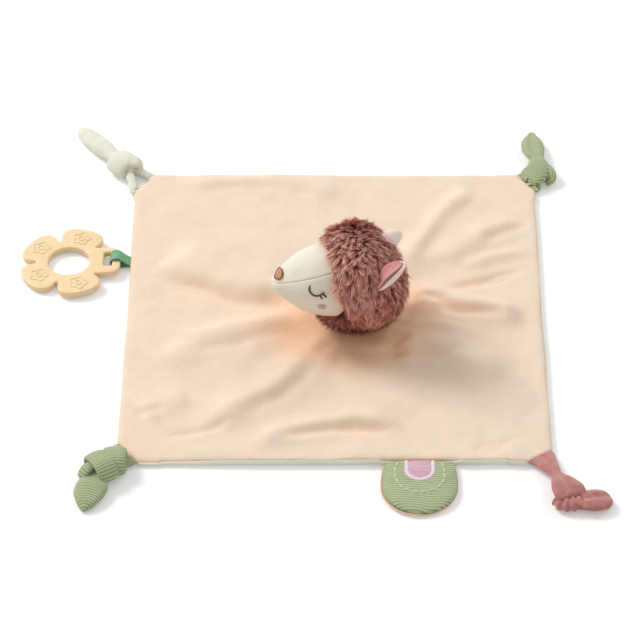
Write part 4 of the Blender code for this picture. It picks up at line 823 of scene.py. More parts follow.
def ruff():
    """Pile round the neck, hanging to the blanket."""
    directions = sphere_directions(RUFF_STRANDS)
    directions = directions[(directions[:, 2] < 0.35) & (directions[:, 2] > -0.85)]
    middle = np.array((HEAD.x - 0.0020, HEAD.y, 0.0215))
    roots = directions * RUFF_HALF + middle
    normals = unit(directions / RUFF_HALF)
    flows = normals * np.array((1, 1, 0)) + np.array((0, -0.1, -0.45))
    flows = unit(flows + RNG.normal(0, 0.25, flows.shape))
    count = len(roots)
    centres = sphere_directions(RUFF_LOCKS)
    nearest = np.argmax(directions @ centres.T, 1)
    lock_flow = unit(centres * np.array((1, 1, 0.2)) + RNG.normal(0, 0.2, centres.shape))
    tips = centres * RUFF_HALF + middle + lock_flow * RNG.uniform(0.006, 0.009, len(centres))[:, None]
    tips[:, 2] = np.maximum(tips[:, 2], 0.0080)
    strands("fur_ruff_pile", roots, normals, flows, RNG.uniform(*RUFF_LENGTH, count),
            RNG.uniform(*RUFF_WIDTH, count), RNG.uniform(0.45, 0.95, count), tips[nearest],
            RNG.uniform(0.4, 0.8, count), unit(np.cross(flows, normals)))


# Each ear in the fur ball's frame: where it points, where its lining faces, how far its root is moved from its
# hinge in the world, and half its breadth
EARS = {
    "left": ((0.8960, 0.0508, 0.4417), (-0.4443, 0.1094, 0.8893), (-0.0006, 0.0072, -0.0066), 0.0078),
    "right": ((0.1862, 0.6147, -0.7661), (-0.8456, -0.2960, -0.4464), (-0.0076, -0.0071, -0.0082), 0.0068),
}
EAR_LENGTH, EAR_CUP, EAR_BEND = 0.0290, 0.003825, 0.003
EAR_OUTLINE = ((0.00, 0.34), (0.10, 0.56), (0.25, 0.82), (0.45, 1.00), (0.65, 0.97), (0.82, 0.78), (0.94, 0.46),
               (1.00, 0.06))
# Cloth, its breadth and length against the whole ear's, its lower and upper face, how far its back sags
EAR_CLOTHS = (("back", 1.0, 1.0, -0.0017, 0.0002, 0.0034, EAR_BACK, "ear_back_jersey"),
              ("lining", 0.84, 0.93, -0.0004, 0.0020, 0.0, EAR_LINING, "ear_lining_velour"))


def ears():
    """Two leaf-shaped ears: a cream back that shows round the rim of a rose lining."""
    rows, ring = 40, 32
    to_room = np.array(HEAD_TURN) @ np.array(TILT)
    share, wide = smooth_path(EAR_OUTLINE, rows).T[:, :, None]
    t = ring_turns(ring)
    c, s = rounded(np.cos(t), 0.8), np.sin(t)
    for name, (pointing, facing, shift, breadth) in EARS.items():
        pointing = to_room @ unit(np.array(pointing))
        facing = to_room @ np.array(facing)
        facing = unit(facing - pointing * facing.dot(pointing))
        across = np.cross(facing, pointing)
        root = joint_place("ear_%s_flop" % name) + shift
        for cloth, broad, long, low, high, sag, finish, slot in EAR_CLOTHS:
            along = (share - 0.5) * long + 0.5
            deep = low - sag * np.sin(math.pi * np.minimum(along, 1)) ** 0.7
            level = (high + deep) / 2 + (high - deep) / 2 * s * (0.35 + 0.65 * np.minimum(wide, 1) ** 0.5)
            bend = EAR_CUP * (c * wide) ** 2 - EAR_BEND * along ** 2
            rings = (root + pointing * (0.0010 + along * EAR_LENGTH)[..., None]
                     + across * (c * wide * broad * breadth)[..., None] + facing * (bend + level)[..., None])
            verts = np.vstack([rings.reshape(-1, 3), rings[0].mean(0), rings[-1].mean(0)])
            piece = recalc(make("ear_%s_%s_cloth" % (name, cloth), verts, pointed_faces(rows, ring), finish))
            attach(piece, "ear_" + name)
            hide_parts("ear_%s_%s" % (name, cloth))


def neck_stitches():
    """The ring of stitches that holds the head on the blanket."""
    stitches, inner, outer = 26, 0.0080, 0.0112
    arch = ((inner, 0.0052), (inner + 0.0004, 0.0062), ((inner + outer) / 2, 0.0065), (outer - 0.0004, 0.0062),
            (outer, 0.0052))
    lines = [[(HEAD.x + r * math.cos(a + 0.05), HEAD.y + r * math.sin(a + 0.05), z) for r, z in arch]
             for a in ring_turns(stitches)]
    ring = threads("neck_stitches", lines, NECK_THREAD, PEACH)
    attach(ring, "blanket")
    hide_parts("neck_ring")


# Straps

RIB_HEIGHT = 0.00022
SWEEP_STEP = 0.0004
TABLE_GAP = 0.0002    # the straps and the tab reach no lower than this
NO_RIB = 0.7    # the rib value of a place without ribs


def even_path(dense):
    """A dense curve at even stations, and how far along it each lies."""
    gaps = np.linalg.norm(np.diff(dense[:, :3], axis=0), axis=1)
    travel = np.concatenate([[0], np.cumsum(gaps)])
    stations = np.linspace(0, travel[-1], max(int(travel[-1] / SWEEP_STEP), 12) + 1)
    return np.stack([np.interp(stations, travel, column) for column in dense.T], 1), stations


def skin(path, side, lift, wide, tall):
    """The places round a path, ring after ring."""
    return (path[:, None, :3] + side[:, None] * wide[..., None] + lift[:, None] * tall[..., None]).reshape(-1, 3)


def sweep(name, controls, finish, slot, ring=36, pitch=0.0, rib=RIB_HEIGHT, bow=0.0, crease=0.0, wobble=0.0,
          lean=None):
    """A soft flat tube through controls of (x, y, z, half width, half thickness, roll in degrees).

    The ribs run across it, pitch apart, and bow forwards at its middle. With a lean in degrees they run along it.
    """
    path, stations = even_path(smooth_path(controls, 40 * len(controls)))
    along = unit(np.gradient(path[:, :3], axis=0))
    side = np.cross(along, (0.0, 0.0, 1.0))
    side /= np.linalg.norm(side, axis=1)[:, None] + 1e-9
    lift = np.cross(side, along)
    roll = np.radians(path[:, 5])[:, None]
    side, lift = side * np.cos(roll) + lift * np.sin(roll), lift * np.cos(roll) - side * np.sin(roll)
    t = ring_turns(ring)
    c, s = rounded(np.cos(t), 0.85), rounded(np.sin(t), 0.85)
    half, stations = path[:, 3][:, None], stations[:, None]
    wide = half * c
    fade = np.clip(1.3 - stations / stations[-1], 0, 1)
    tall = path[:, 4][:, None] * s * (1 - crease * fade * bell((c + 0.15) / 0.24) * (s > 0))
    ribs = np.full((len(path), ring), NO_RIB)
    if pitch:
        place = stations + bow * (1 - c ** 2) * half
        if lean is not None:
            place = wide * math.cos(math.radians(lean)) - stations * math.sin(math.radians(lean))
        place = place + 0.0006 * soft_noise(stations, t[None] * 0.004, 0.006, 31)
        ribs = 0.5 + 0.5 * np.cos(2 * math.pi * place / pitch)
        wide = wide + rib * (ribs - 0.6) * c
        tall = tall + rib * (ribs - 0.6) * s
    if wobble:
        lump = wobble * soft_noise(stations, np.sin(t)[None] * 0.01, 0.005, 33 + len(name))
        wide, tall = wide + lump * c, tall + lump * s
    verts = skin(path, side, lift, wide, tall)
    verts = np.vstack([verts, verts[:ring].mean(0), verts[-ring:].mean(0)])
    verts[:, 2] = np.maximum(verts[:, 2], TABLE_GAP)
    ribs = np.concatenate([ribs.reshape(-1), [0.5, 0.5]])
    return recalc(make(name, verts, pointed_faces(len(path), ring), finish, {"rib": ribs}))


def wrap(name, centre, bearing, tilt, reach, height, half_width, half_thickness, finish, slot, pitch):
    """A closed turn of strap round a knot. Its axis points along the bearing, tilted up."""
    bearing, tilt, ring, span = math.radians(bearing), math.radians(tilt), 32, 40
    axis = np.array((math.cos(bearing) * math.cos(tilt), math.sin(bearing) * math.cos(tilt), math.sin(tilt)))
    flat = unit(np.cross((0, 0, 1.0), axis))
    rise = np.cross(axis, flat)
    around = ring_turns(8)[:, None]
    controls = centre + (flat * np.cos(around) * reach + rise * np.sin(around) * height)
    loop = np.vstack([controls[-2:], controls, controls[:3]])
    first = 2 * span
    dense = smooth_path(loop, span * (len(loop) - 1) + 1)[first:first + span * len(controls) + 1]
    path, stations = even_path(dense)
    total = stations[-1]
    path, stations = path[:-1], stations[:-1, None]
    along = unit(np.roll(path, -1, 0) - np.roll(path, 1, 0))
    side = np.repeat(axis[None], len(path), 0)
    lift = np.cross(along, side)
    lift = lift * np.sign(((path - centre) * lift).sum(1).mean())
    t = ring_turns(ring)
    c, s = rounded(np.cos(t), 0.8), rounded(np.sin(t), 0.9)
    ribs = np.full((len(path), ring), NO_RIB)
    grow = 0 * ribs
    if pitch:
        pitch = total / round(total / pitch)
        ribs = 0.5 + 0.5 * np.cos(2 * math.pi * (stations + 0 * t) / pitch)
        grow = RIB_HEIGHT * (ribs - 0.6)
    angle = stations / total * 2 * math.pi
    lump = 0.0003 * (np.sin(angle * 2 + 1) + np.sin(angle * 5 + 2) * 0.6)
    verts = skin(path, side, lift, half_width * c + grow * c, half_thickness * s + grow * s + lump * (s > 0))
    verts[:, 2] = np.maximum(verts[:, 2], TABLE_GAP)
    faces = grid_faces(len(path), ring, True)
    last = (len(path) - 1) * ring
    faces += [(last + k, last + (k + 1) % ring, (k + 1) % ring, k) for k in range(ring)]
    return recalc(make(name, verts, faces, finish, {"rib": ribs.reshape(-1)}))


# Each strap, in millimetres. Turns: centre, bearing and tilt of the axis, reach, height, half width, half
# thickness. Core, loops, leg and tail: x, y, z, half width, half thickness.
STRAPS = {
    "rear_left": dict(
        finish="cream", into=(-155.0, 161.0, 6.0), leg_width=3.6,
        turns=(((-159.0, 166.0, 7.2), 138, 0, 8.2, 5.6, 9.0, 3.0),
               ((-154.5, 163.0, 7.4), 98, 8, 8.0, 5.2, 5.2, 2.4)),
        core=((-151.0, 158.0, 6.5, 5.0, 4.0), (-158.0, 165.0, 7.0, 8.0, 5.6), (-165.0, 173.0, 7.0, 5.0, 4.0)),
        tail=((-163.0, 170.5, 7.0, 4.0, 3.4), (-167.0, 176.0, 6.6, 5.4, 4.0), (-172.0, 183.0, 6.0, 7.0, 4.7),
              (-178.0, 190.5, 5.6, 7.6, 4.9), (-184.0, 198.0, 5.3, 7.5, 4.8), (-189.5, 205.0, 4.8, 6.4, 4.3),
              (-193.0, 209.5, 4.2, 4.2, 3.3), (-194.8, 211.8, 3.6, 1.5, 1.3)), crease=0.0),
    "rear_right": dict(
        finish="cord", into=(150.5, 151.5, 5.0), leg_width=5.4, turns=(), lean=33, tail_pitch=2.3,
        core=((152.8, 170.5, 8.0, 5.2, 3.2), (153.3, 165.6, 7.8, 7.2, 4.4), (153.2, 160.2, 7.4, 8.8, 5.2),
              (151.6, 155.2, 7.2, 9.6, 5.0), (148.7, 151.6, 7.2, 10.0, 3.6), (145.4, 149.4, 7.0, 9.6, 1.6)),
        loops=(((157.0, 164.6, 8.0, 3.0, 1.8), (161.0, 159.2, 8.2, 3.6, 1.9), (162.9, 153.8, 7.2, 3.7, 1.9),
                (162.7, 150.0, 4.8, 3.4, 1.8), (158.6, 148.2, 2.4, 3.0, 1.5)),),
        tail=((154.2, 167.0, 9.4, 4.4, 2.8), (153.4, 172.0, 8.8, 5.0, 2.9), (151.8, 178.0, 7.4, 7.2, 3.1),
              (150.6, 186.0, 5.6, 8.6, 3.2), (150.2, 194.0, 4.6, 8.2, 3.0), (150.3, 201.0, 3.6, 6.0, 2.5),
              (150.5, 207.0, 2.8, 3.2, 1.8), (150.6, 210.0, 2.2, 1.0, 0.9)), crease=0.85),
    "front_left": dict(
        finish="cord", into=(-152.0, -161.0, 6.0), leg_width=5.6,
        turns=(((-150.8, -161.0, 8.0), 180, 0, 9.4, 6.0, 8.0, 2.3),
               ((-159.8, -167.4, 8.6), 211, 0, 11.2, 6.6, 7.4, 2.3),
               ((-167.0, -169.8, 6.6), 133, 0, 6.8, 5.0, 4.2, 2.1)),
        core=((-150.0, -161.0, 6.5, 6.0, 4.0), (-158.0, -167.0, 7.0, 7.0, 4.4), (-162.5, -173.5, 6.0, 5.5, 3.2)),
        tail=((-161.5, -175.0, 6.8, 7.0, 2.8), (-164.0, -180.5, 6.4, 10.4, 3.4), (-166.0, -186.0, 5.6, 11.4, 3.8),
              (-167.6, -192.0, 4.6, 10.2, 3.5), (-168.9, -197.8, 3.6, 7.4, 2.9), (-169.8, -202.0, 2.6, 3.7, 2.0),
              (-170.2, -204.2, 1.9, 1.0, 0.9)), crease=0.0),
    "front_right": dict(
        finish="velvet", into=(153.0, -175.0, 6.0), leg_width=0.0, turns=(), pleat=4.3,
        core=((150.2, -196.2, 4.0, 3.4, 2.8), (153.4, -199.0, 4.4, 5.0, 3.6), (158.4, -200.0, 4.8, 5.6, 4.0),
              (163.2, -199.6, 4.8, 5.6, 4.0), (167.4, -198.6, 4.8, 5.0, 3.6)),
        leg=((149.0, -166.0, 5.2, 5.8, 2.8), (152.0, -173.6, 6.4, 4.5, 3.0), (154.3, -180.0, 8.0, 7.2, 3.2),
             (156.8, -186.0, 9.2, 10.0, 3.0), (159.0, -190.8, 9.4, 11.2, 2.6), (160.8, -194.6, 8.6, 11.2, 2.0),
             (161.6, -196.4, 7.6, 10.8, 1.2)),
        tail=((166.9, -199.0, 5.0, 6.6, 3.2), (171.2, -198.0, 5.4, 8.8, 3.8), (176.9, -196.8, 5.2, 10.0, 3.8),
              (182.3, -195.6, 4.6, 9.2, 3.4), (186.4, -194.6, 3.8, 6.4, 2.6), (188.6, -193.9, 3.0, 2.2, 1.2)),
        crease=0.85),
}
LEG_LIFT = np.array((0.0, 0.0, 0.0033))


def corner_frame(name):
    """A cut corner in plan: its middle, the way out, the way along it and half its length."""
    across, along = CUTS[name]
    tip = np.array((math.copysign(WIDTH / 2, across), math.copysign(DEPTH / 2, along), 0.0))
    end_x, end_y = tip - np.array((across * CUT, 0, 0)), tip - np.array((0, along * CUT, 0))
    length = np.linalg.norm(end_y - end_x)
    direction = (end_y - end_x) / length
    normal = np.array((direction[1], -direction[0], 0.0))
    if normal @ tip < 0:
        normal, direction = -normal, -direction
    return (end_x + end_y) / 2, normal, direction, length / 2


def in_metres(points):
    """Rows of x, y, z, half width and half thickness in millimetres as sweep controls."""
    return [(*(np.array(point) / 1000), 0.0) for point in points]


def leg_path(s, side, middle, normal, direction, half):
    """One leg's way from the seam to the knot: the left or right of two, or the whole corner's cloth."""
    into, width = np.array(s["into"]) / 1000, s["leg_width"] / 1000
    start = middle + direction * side * (half - width) + LEG_LIFT
    if not side:
        return [(*(start - normal * 0.0050), half * 0.94, 0.0006, 0), (*start, half * 0.98, 0.0012, 0),
                (*(start + normal * 0.0030), half * 0.94, 0.0022, 0), *in_metres(s["leg"])]
    halfway = (start + into + direction * side * width * 0.5) * 0.5
    return [(*(start - normal * 0.0050), width * 0.96, 0.0006, 0), (*start, width, 0.0012, 0),
            (*(start + normal * 0.0026), width, 0.0022, 0), (*halfway, width * 0.92, 0.0030, 5 * side),
            (*(into + direction * side * width * 0.4), width * 0.9, 0.0034, 0)]


def tail_end(points):
    """The point of a tail farthest from its root."""
    points = np.array(points)[:, :3] / 1000
    return points[np.argmax(np.linalg.norm(points - points[0], axis=1))]


def straps():
    """The four corner straps: their legs from the seam, a tied knot, and a loose tail."""
    finishes = {"cream": (CREAM, "cream_jersey", 0.0), "cord": (CORD, "green_corduroy", 0.0018),
                "velvet": (VELVET, "rose_velvet", 0.0)}
    for name, s in STRAPS.items():
        finish, slot, pitch = finishes[s["finish"]]
        corner = corner_frame(name)
        knot_body, tail_body = "knot_" + name, "tail_" + name
        seat = joint_place("tail_%s_flop" % name)
        for side, leg in ((0, "whole"),) if "leg" in s else ((-1, "a"), (1, "b")):
            piece = sweep("strap_%s_%s" % (name, leg), leg_path(s, side, *corner), finish, slot, pitch=pitch,
                          crease=0.0 if side else 0.60, wobble=0.0002)
            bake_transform(piece)
        for k, (centre, bearing, tilt, *sizes) in enumerate(s["turns"]):
            piece = wrap("knot_%s_turn_%d" % (name, k), np.array(centre) / 1000, bearing, tilt,
                         *(size / 1000 for size in sizes), finish, slot, pitch)
            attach(piece, knot_body)
        make_up = dict(pitch=pitch)
        if "lean" in s:
            make_up = dict(ring=180, pitch=pitch, lean=s["lean"], wobble=0.0003)
        elif "pleat" in s:
            make_up = dict(ring=48, pitch=s["pleat"] / 1000, rib=0.0011)
        ball = sweep("knot_%s_core" % name, in_metres(s["core"]), finish, slot, **make_up)
        for k, loop in enumerate(s.get("loops", ())):
            piece = sweep("knot_%s_loop_%d" % (name, k), in_metres(loop), finish, slot, 90, pitch=pitch, lean=0,
                          wobble=0.0002)
            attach(piece, knot_body)
        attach(ball, knot_body)
        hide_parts("corner_knot_" + name)
        tail = sweep("tail_%s_cloth" % name, in_metres(s["tail"]), finish, slot,
                     pitch=s.get("tail_pitch", pitch * 1000) / 1000, bow=0.25, crease=s["crease"], wobble=0.0004)
        heading = np.cross(np.array(JOINTS["tail_%s_flop" % name]["axis"]), (0, 0, 1.0))
        heading = heading * np.sign(heading @ (tail_end(s["tail"]) - seat))
        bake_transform(tail)
        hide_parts("corner_tail_" + name)


# Ribbon and teether

BAR_INNER, BAR_OUTER = 0.00402, 0.00492
BAR_PLACE = 0.0345    # from the teether's middle to its bar
TEETHER_THICK, TEETHER_EDGE, TEETHER_RADIUS, TEETHER_NOTCH, TEETHER_HOLE = 0.0050, 0.0013, 0.0370, 0.0245, 0.0152
PETAL, PETAL_HALF = 2 * math.pi / 5, math.radians(33)
BLOSSOM_AT, BLOSSOM_LINE = 0.0262, 0.00050
REST_TILT = math.asin((BAR_OUTER - TEETHER_THICK / 2) / (BAR_PLACE + TEETHER_RADIUS * 0.955))
RIBBON_HALF, RIBBON_THICK, RIBBON_BEND = 0.0050, 0.0006, 0.0012


def arc_points(centre, radius, start, end, count):
    return [(centre[0] + radius * math.cos(math.radians(a)), centre[1] + radius * math.sin(math.radians(a)))
            for a in np.linspace(start, end, count)]


def flat_curve(name, outlines, thickness, edge, finish):
    """A flat moulded piece with rounded edges, from closed outlines."""
    curve = bpy.data.curves.new(name, "CURVE")
    curve.dimensions = "2D"
    curve.fill_mode = "BOTH"
    curve.extrude = thickness / 2 - edge
    curve.bevel_depth = edge
    curve.bevel_resolution = 5
    curve.offset = -edge
    for outline in outlines:
        spline = curve.splines.new("POLY")
        spline.points.add(len(outline) - 1)
        for point, (x, y) in zip(spline.points, outline):
            point.co = (x, y, 0, 1)
        spline.use_cyclic_u = True
    holder = bpy.data.objects.new(name, curve)
    bpy.context.scene.collection.objects.link(holder)
    bpy.context.view_layer.update()
    mesh = bpy.data.meshes.new_from_object(holder.evaluated_get(bpy.context.evaluated_depsgraph_get()))
    bpy.data.objects.remove(holder, do_unlink=True)
    made = bpy.data.objects.new(name, mesh)
    bpy.context.scene.collection.objects.link(made)
    merge(made, 1e-6)
    mesh.materials.clear()
    mesh.materials.append(finish)
    mesh.shade_smooth()
    mesh.set_sharp_from_angle(angle=math.radians(40))
    return made


def teether():
    """The flower teether in silicone: hole, ribbon slot and bar, and a blossom in relief on each petal."""
    outline = []
    for petal in range(1, 5):
        for turn in np.linspace(-PETAL / 2, PETAL / 2, 61)[:-1]:
            fall = min(abs(turn) / PETAL_HALF, 1.0) ** 4
            radius = TEETHER_NOTCH + (TEETHER_RADIUS - TEETHER_NOTCH) * math.sqrt(1 - fall)
            outline.append((radius * math.cos(petal * PETAL + turn), radius * math.sin(petal * PETAL + turn)))
    outline += arc_points((0.0300, -0.0065), 0.0075, -90, 0, 14)
    outline += arc_points((0.0300, 0.0065), 0.0075, 0, 90, 14)
    hole = arc_points((0, 0), TEETHER_HOLE, 0, 357, 120)
    slot_line = []
    for middle, start in (((0.0299, 0.0070), 0), ((0.0269, 0.0070), 90), ((0.0269, -0.0046), 180),
                          ((0.0299, -0.0046), 270)):
        slot_line += arc_points(middle, 0.0016, start, start + 90, 8)
    body = flat_curve("flower_teether", [outline, hole, slot_line], TEETHER_THICK, TEETHER_EDGE, SILICONE)
    pivot = Vector(JOINTS["teether_swing"]["pos_m"])
    offset = Vector((-BAR_PLACE * math.cos(REST_TILT), -0.0031, -BAR_PLACE * math.sin(REST_TILT)))
    place = Matrix.Translation(pivot + offset) @ Matrix.Rotation(-REST_TILT, 4, "Y")
    body.data.transform(place)
    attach(body, "teether")
    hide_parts("teether")
    lines = []
    for angle in (petal * PETAL for petal in range(1, 5)):
        spot = Matrix.Translation((BLOSSOM_AT * math.cos(angle), BLOSSOM_AT * math.sin(angle), TEETHER_THICK / 2))
        at = place @ spot @ Matrix.Rotation(angle, 4, "Z")
        for turns, size, scallop in ((61, 0.0068, 0.30), (31, 0.0022, 0.0)):
            line = []
            for a in np.linspace(0, 2 * math.pi, turns):
                reach = size * (1 - scallop * (0.5 - 0.5 * math.cos(5 * a)))
                line.append(at @ Vector((reach * math.cos(a), reach * math.sin(a), 0)))
            lines.append(line)
    relief = threads("teether_blossoms", lines, BLOSSOM_LINE, SILICONE, 10, False)
    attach(relief, "teether")


def ribbon():
    """The ribbon: folded round the bar, its two ends together in the seam."""
    hinge, bar = joint_place("ribbon_flap"), joint_place("teether_swing")
    reach = np.linalg.norm(bar - hinge)
    out = (bar - hinge) / reach
    lift = np.cross(out, (0, 1.0, 0))
    lift = lift * math.copysign(1, lift[2])
    radius = (BAR_INNER + BAR_OUTER) / 2
    turn = 180 - math.degrees(math.acos((radius - 0.0005) / reach))
    line = smooth_path([(-0.0040, 0.0006), (-0.0010, 0.0006), *arc_points((reach, 0), radius, turn, -turn, 40),
                        (-0.0010, -0.0006), (-0.0040, -0.0006)], 120)
    across = np.linspace(-RIBBON_HALF, RIBBON_HALF, 13)
    verts = []
    for along, up in line:
        for y in across:
            crown = 0.00018 * (1 - (y / RIBBON_HALF) ** 2)
            verts.append(hinge + out * along + lift * (up + crown * np.sign(up or 1)) + np.array((0, y, 0)))
    piece = make("ribbon_cloth", verts, grid_faces(len(line), len(across)), RIBBON)
    solidify(piece, RIBBON_THICK, 0.0)
    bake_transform(piece)
    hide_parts("ribbon_loop")


# Tab

TAB_R, TAB_STRAIGHT = 0.0252, 0.0235
TAB_SEAT = 0.0018    # how far the tab starts behind its hinge
TAB_BEND, TAB_THICK, TAB_FULL, TAB_RIB = 0.0022, 0.0008, 0.0034, 0.0021
TERRY_R, TERRY_STRAIGHT = 0.0085, 0.0102
DASHES, DASH_PITCH, DASH_LENGTH = 14, 0.0705, 0.056    # pitch and length as shares of the line of stitches
DASH_R, DASH_STRAIGHT, DASH_THREAD = 0.0169, 0.0151, 0.00066


def tab_place(s, u, radius, straight):
    """A place on the tab in plan: s from its spine to its rim, u along the rim from one end of the seam."""
    side = straight / (2 * straight + math.pi * radius)
    s, u = np.asarray(s, dtype=float), np.asarray(u, dtype=float)
    angle = math.pi * (np.clip((u - side) / (1 - 2 * side), 0, 1))
    y = -straight - s * radius * np.sin(angle)
    y = np.where(u < side, -straight * u / side, y)
    y = np.where(u > 1 - side, -straight * (1 - u) / side, y)
    return -s * radius * np.cos(angle), y


def tab_height(x, y, radius=TAB_R):
    gauge = np.where(y < -TAB_STRAIGHT, np.hypot(x, y + TAB_STRAIGHT), np.abs(x)) / radius
    puff = np.sqrt(np.clip(1 - np.clip(gauge, 0, 1) ** 2.6, 0, 1))
    return TAB_FULL * puff * (0.62 + 0.38 * smoothstep(-y / 0.012))


def tab_faces(hinge):
    """The corduroy face and the peach back, puffed apart and joined round the rim."""
    s, u = np.meshgrid(np.linspace(0, 1, 70), np.linspace(0, 1, 260), indexing="ij")
    for name, sign, grow, finish, slot in (("tab_front", 1, 1.0, CORD, "green_corduroy"),
                                           ("tab_back", -1, 1.018, PEACH, "peach_velour")):
        x, y = tab_place(s, u, TAB_R * grow, TAB_STRAIGHT)
        x = x * (1 - 0.07 * np.clip(1 + y / 0.016, 0, 1) ** 1.5)
        z = tab_height(x, y, TAB_R * grow) * (1 if sign > 0 else 0.55)
        rib = np.full(x.shape, NO_RIB)
        if sign > 0:
            wander = y + 0.0012 * np.sin(x / 0.010 + 0.6) + 0.0006 * soft_noise(x, y, 0.008, 41)
            rib = 0.5 + 0.5 * np.cos(2 * math.pi * wander / TAB_RIB)
            z = z + 0.00030 * (rib - 0.5) * np.clip((1 - s) * 12, 0, 1)
        z = z + 0.0003 * soft_noise(x, y, 0.010, 42 + sign)
        shift = 0.0 if sign > 0 else 0.0010
        verts = np.stack([hinge[0] + x - shift, hinge[1] + TAB_SEAT + y - shift * 0.5, hinge[2] + sign * z], -1)
        verts = verts.reshape(-1, 3)
        verts[:, 2] = np.maximum(verts[:, 2], TABLE_GAP)
        piece = make(name, verts, grid_faces(*s.shape), finish, {"rib": rib.reshape(-1)})
        merge(piece, 2e-6)
        solidify(piece, TAB_THICK, -float(sign))
        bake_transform(piece)
        if sign > 0:
            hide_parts("tab_face", "tab_wadding")
        else:
            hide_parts("tab_backing")


def tab():
    """The padded tab: its two faces, a line of stitches and a pink half-round patch with a satin edge."""
    hinge = joint_place("tab_flap")
    tab_faces(hinge)

    def on_tab(x, y, lift):
        skin_height = tab_height(x, y) + 0.0003 * soft_noise(x, y, 0.010, 43)
        return np.stack([hinge[0] + x, hinge[1] + TAB_SEAT + y, hinge[2] + skin_height + lift], -1)

    lines = []
    for k in range(DASHES):
        start = 0.010 + k * DASH_PITCH
        x, y = tab_place(np.ones(12), np.linspace(start, start + DASH_LENGTH, 12), DASH_R, DASH_STRAIGHT)
        x = x * (1 - 0.14 * np.clip(1 + y / 0.008, 0, 1))
        lines.append(on_tab(x, y, np.sin(np.linspace(0, math.pi, 12)) * 0.0005 + 0.0005))
    dashes = threads("tab_stitches", lines, DASH_THREAD, STITCH)
    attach(dashes, "tab")

    s, u = np.meshgrid(np.linspace(0, 1, 40), np.linspace(0, 1, 130), indexing="ij")
    x, y = tab_place(s, u, TERRY_R, TERRY_STRAIGHT)
    puff = 0.0011 * np.sqrt(np.clip(1 - s ** 3, 0, 1)) + 0.00025 * soft_noise(x, y, 0.0011, 45)
    verts = on_tab(x, y, puff + 0.0004).reshape(-1, 3)
    terry = make("tab_terry", verts, grid_faces(*s.shape), TERRY)
    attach(terry, "tab")
    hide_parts("tab_applique")

    rows, ring, up = 200, 16, np.array((0, 0, 1.0))
    x, y = tab_place(np.ones(rows), np.linspace(0, 1, rows), TERRY_R + 0.0006, TERRY_STRAIGHT)
    centre = on_tab(x, y, 0.0007)
    side = unit(np.cross(unit(np.gradient(centre, axis=0)), up))
    t = ring_turns(ring)
    stitch = (0.00008 * np.cos(np.arange(rows) * 2 * math.pi / 3.0))[:, None]
    verts = skin(centre, side, np.repeat(up[None], rows, 0), (0.00145 + stitch) * np.cos(t),
                 (0.00080 + stitch) * np.sin(t))
    border = recalc(make("tab_satin_edge", verts, capped_faces(rows, ring), SATIN))
    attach(border, "tab")
    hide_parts("tab_applique_border")


# Stage

AMBIENT, FLOOR_GLOW, FLOOR_HALF = 0.565, 0.26, 6.0
LAMPS = (("key", (-2.50, 1.60, 2.70), 1.60, 101.0), ("second", (1.9, 1.7, 2.2), 1.6, 14.0))
CAMERA_ELEVATION, CAMERA_DISTANCE = math.radians(41), 2.60881


def camera_ray(tree):
    """1 for camera, glossy and transmission rays."""
    rays = tree.nodes.new("ShaderNodeLightPath")
    found = rays.outputs["Is Camera Ray"]
    for kind in ("Is Glossy Ray", "Is Transmission Ray"):
        node = tree.nodes.new("ShaderNodeMath")
        node.operation = "MAXIMUM"
        tree.links.new(found, node.inputs[0])
        tree.links.new(rays.outputs[kind], node.inputs[1])
        found = node.outputs[0]
    return found


def studio_world():
    """A warm, pale light all round, which the camera sees as plain white."""
    world = bpy.data.worlds.new("studio")
    bpy.context.scene.world = world
    world.use_nodes = True
    tree = world.node_tree
    ambient = tree.nodes["Background"]
    ambient.inputs["Color"].default_value = (1.0, 0.985, 0.97, 1)
    ambient.inputs["Strength"].default_value = AMBIENT
    seen = tree.nodes.new("ShaderNodeBackground")
    seen.inputs["Color"].default_value = (1, 1, 1, 1)
    seen.inputs["Strength"].default_value = 1.0
    mix = tree.nodes.new("ShaderNodeMixShader")
    tree.links.new(camera_ray(tree), mix.inputs["Fac"])
    tree.links.new(ambient.outputs[0], mix.inputs[1])
    tree.links.new(seen.outputs[0], mix.inputs[2])
    tree.links.new(mix.outputs[0], tree.nodes["World Output"].inputs["Surface"])


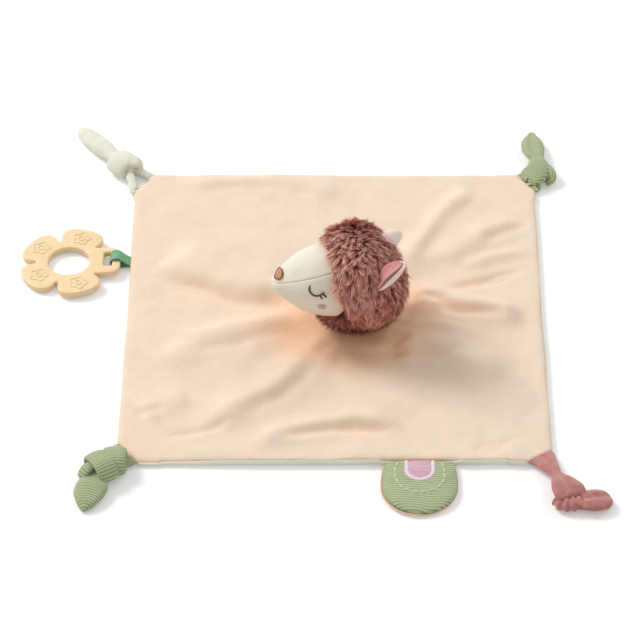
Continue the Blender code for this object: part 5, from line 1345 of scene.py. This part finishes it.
def white_floor():
    """A floor that keeps the shadow and glows a little for the camera only."""
    mesh = bpy.data.meshes.new("floor")
    size = FLOOR_HALF
    mesh.from_pydata([(-size, -size, 0), (size, -size, 0), (size, size, 0), (-size, size, 0)], [], [(0, 1, 2, 3)])
    floor = bpy.data.objects.new("floor", mesh)
    bpy.context.scene.collection.objects.link(floor)
    floor.location.z = -0.0002
    finish = bpy.data.materials.new("floor")
    finish.use_nodes = True
    tree = finish.node_tree
    shader = tree.nodes["Principled BSDF"]
    shader.inputs["Base Color"].default_value = (0.82, 0.82, 0.82, 1)
    shader.inputs["Roughness"].default_value = 1.0
    shader.inputs["Specular IOR Level"].default_value = 0.0
    glow = tree.nodes.new("ShaderNodeEmission")
    strength = tree.nodes.new("ShaderNodeMath")
    strength.operation = "MULTIPLY"
    strength.inputs[1].default_value = FLOOR_GLOW
    tree.links.new(camera_ray(tree), strength.inputs[0])
    tree.links.new(strength.outputs[0], glow.inputs["Strength"])
    total = tree.nodes.new("ShaderNodeAddShader")
    tree.links.new(shader.outputs[0], total.inputs[0])
    tree.links.new(glow.outputs[0], total.inputs[1])
    tree.links.new(total.outputs[0], tree.nodes["Material Output"].inputs["Surface"])
    mesh.materials.append(finish)


def stage():
    """The world, the floor, a soft key from the left and rear, a weaker second lamp, and the photo's camera."""
    studio_world()
    white_floor()
    for name, place, size, power in LAMPS:
        data = bpy.data.lights.new(name, "AREA")
        data.shape = "DISK"
        data.size = size
        data.energy = power
        lamp = bpy.data.objects.new(name, data)
        bpy.context.scene.collection.objects.link(lamp)
        lamp.location = place
        lamp.rotation_euler = (-Vector(place)).to_track_quat("-Z", "Y").to_euler()

    data = bpy.data.cameras.new("camera")
    data.lens = 203.55
    data.sensor_width = 36
    data.shift_x, data.shift_y = -0.02266, -0.00652
    camera = bpy.data.objects.new("camera", data)
    bpy.context.scene.collection.objects.link(camera)
    camera.location = Vector((0, -math.cos(CAMERA_ELEVATION), math.sin(CAMERA_ELEVATION))) * CAMERA_DISTANCE
    camera.rotation_euler = (math.radians(90) - CAMERA_ELEVATION, 0, 0)
    bpy.context.scene.camera = camera
    bpy.context.scene.view_settings.view_transform = "Standard"


stage()
blanket()
muzzle()
features()
undercoat()
fur()
ruff()
ears()
neck_stitches()
straps()
teether()
ribbon()
tab()
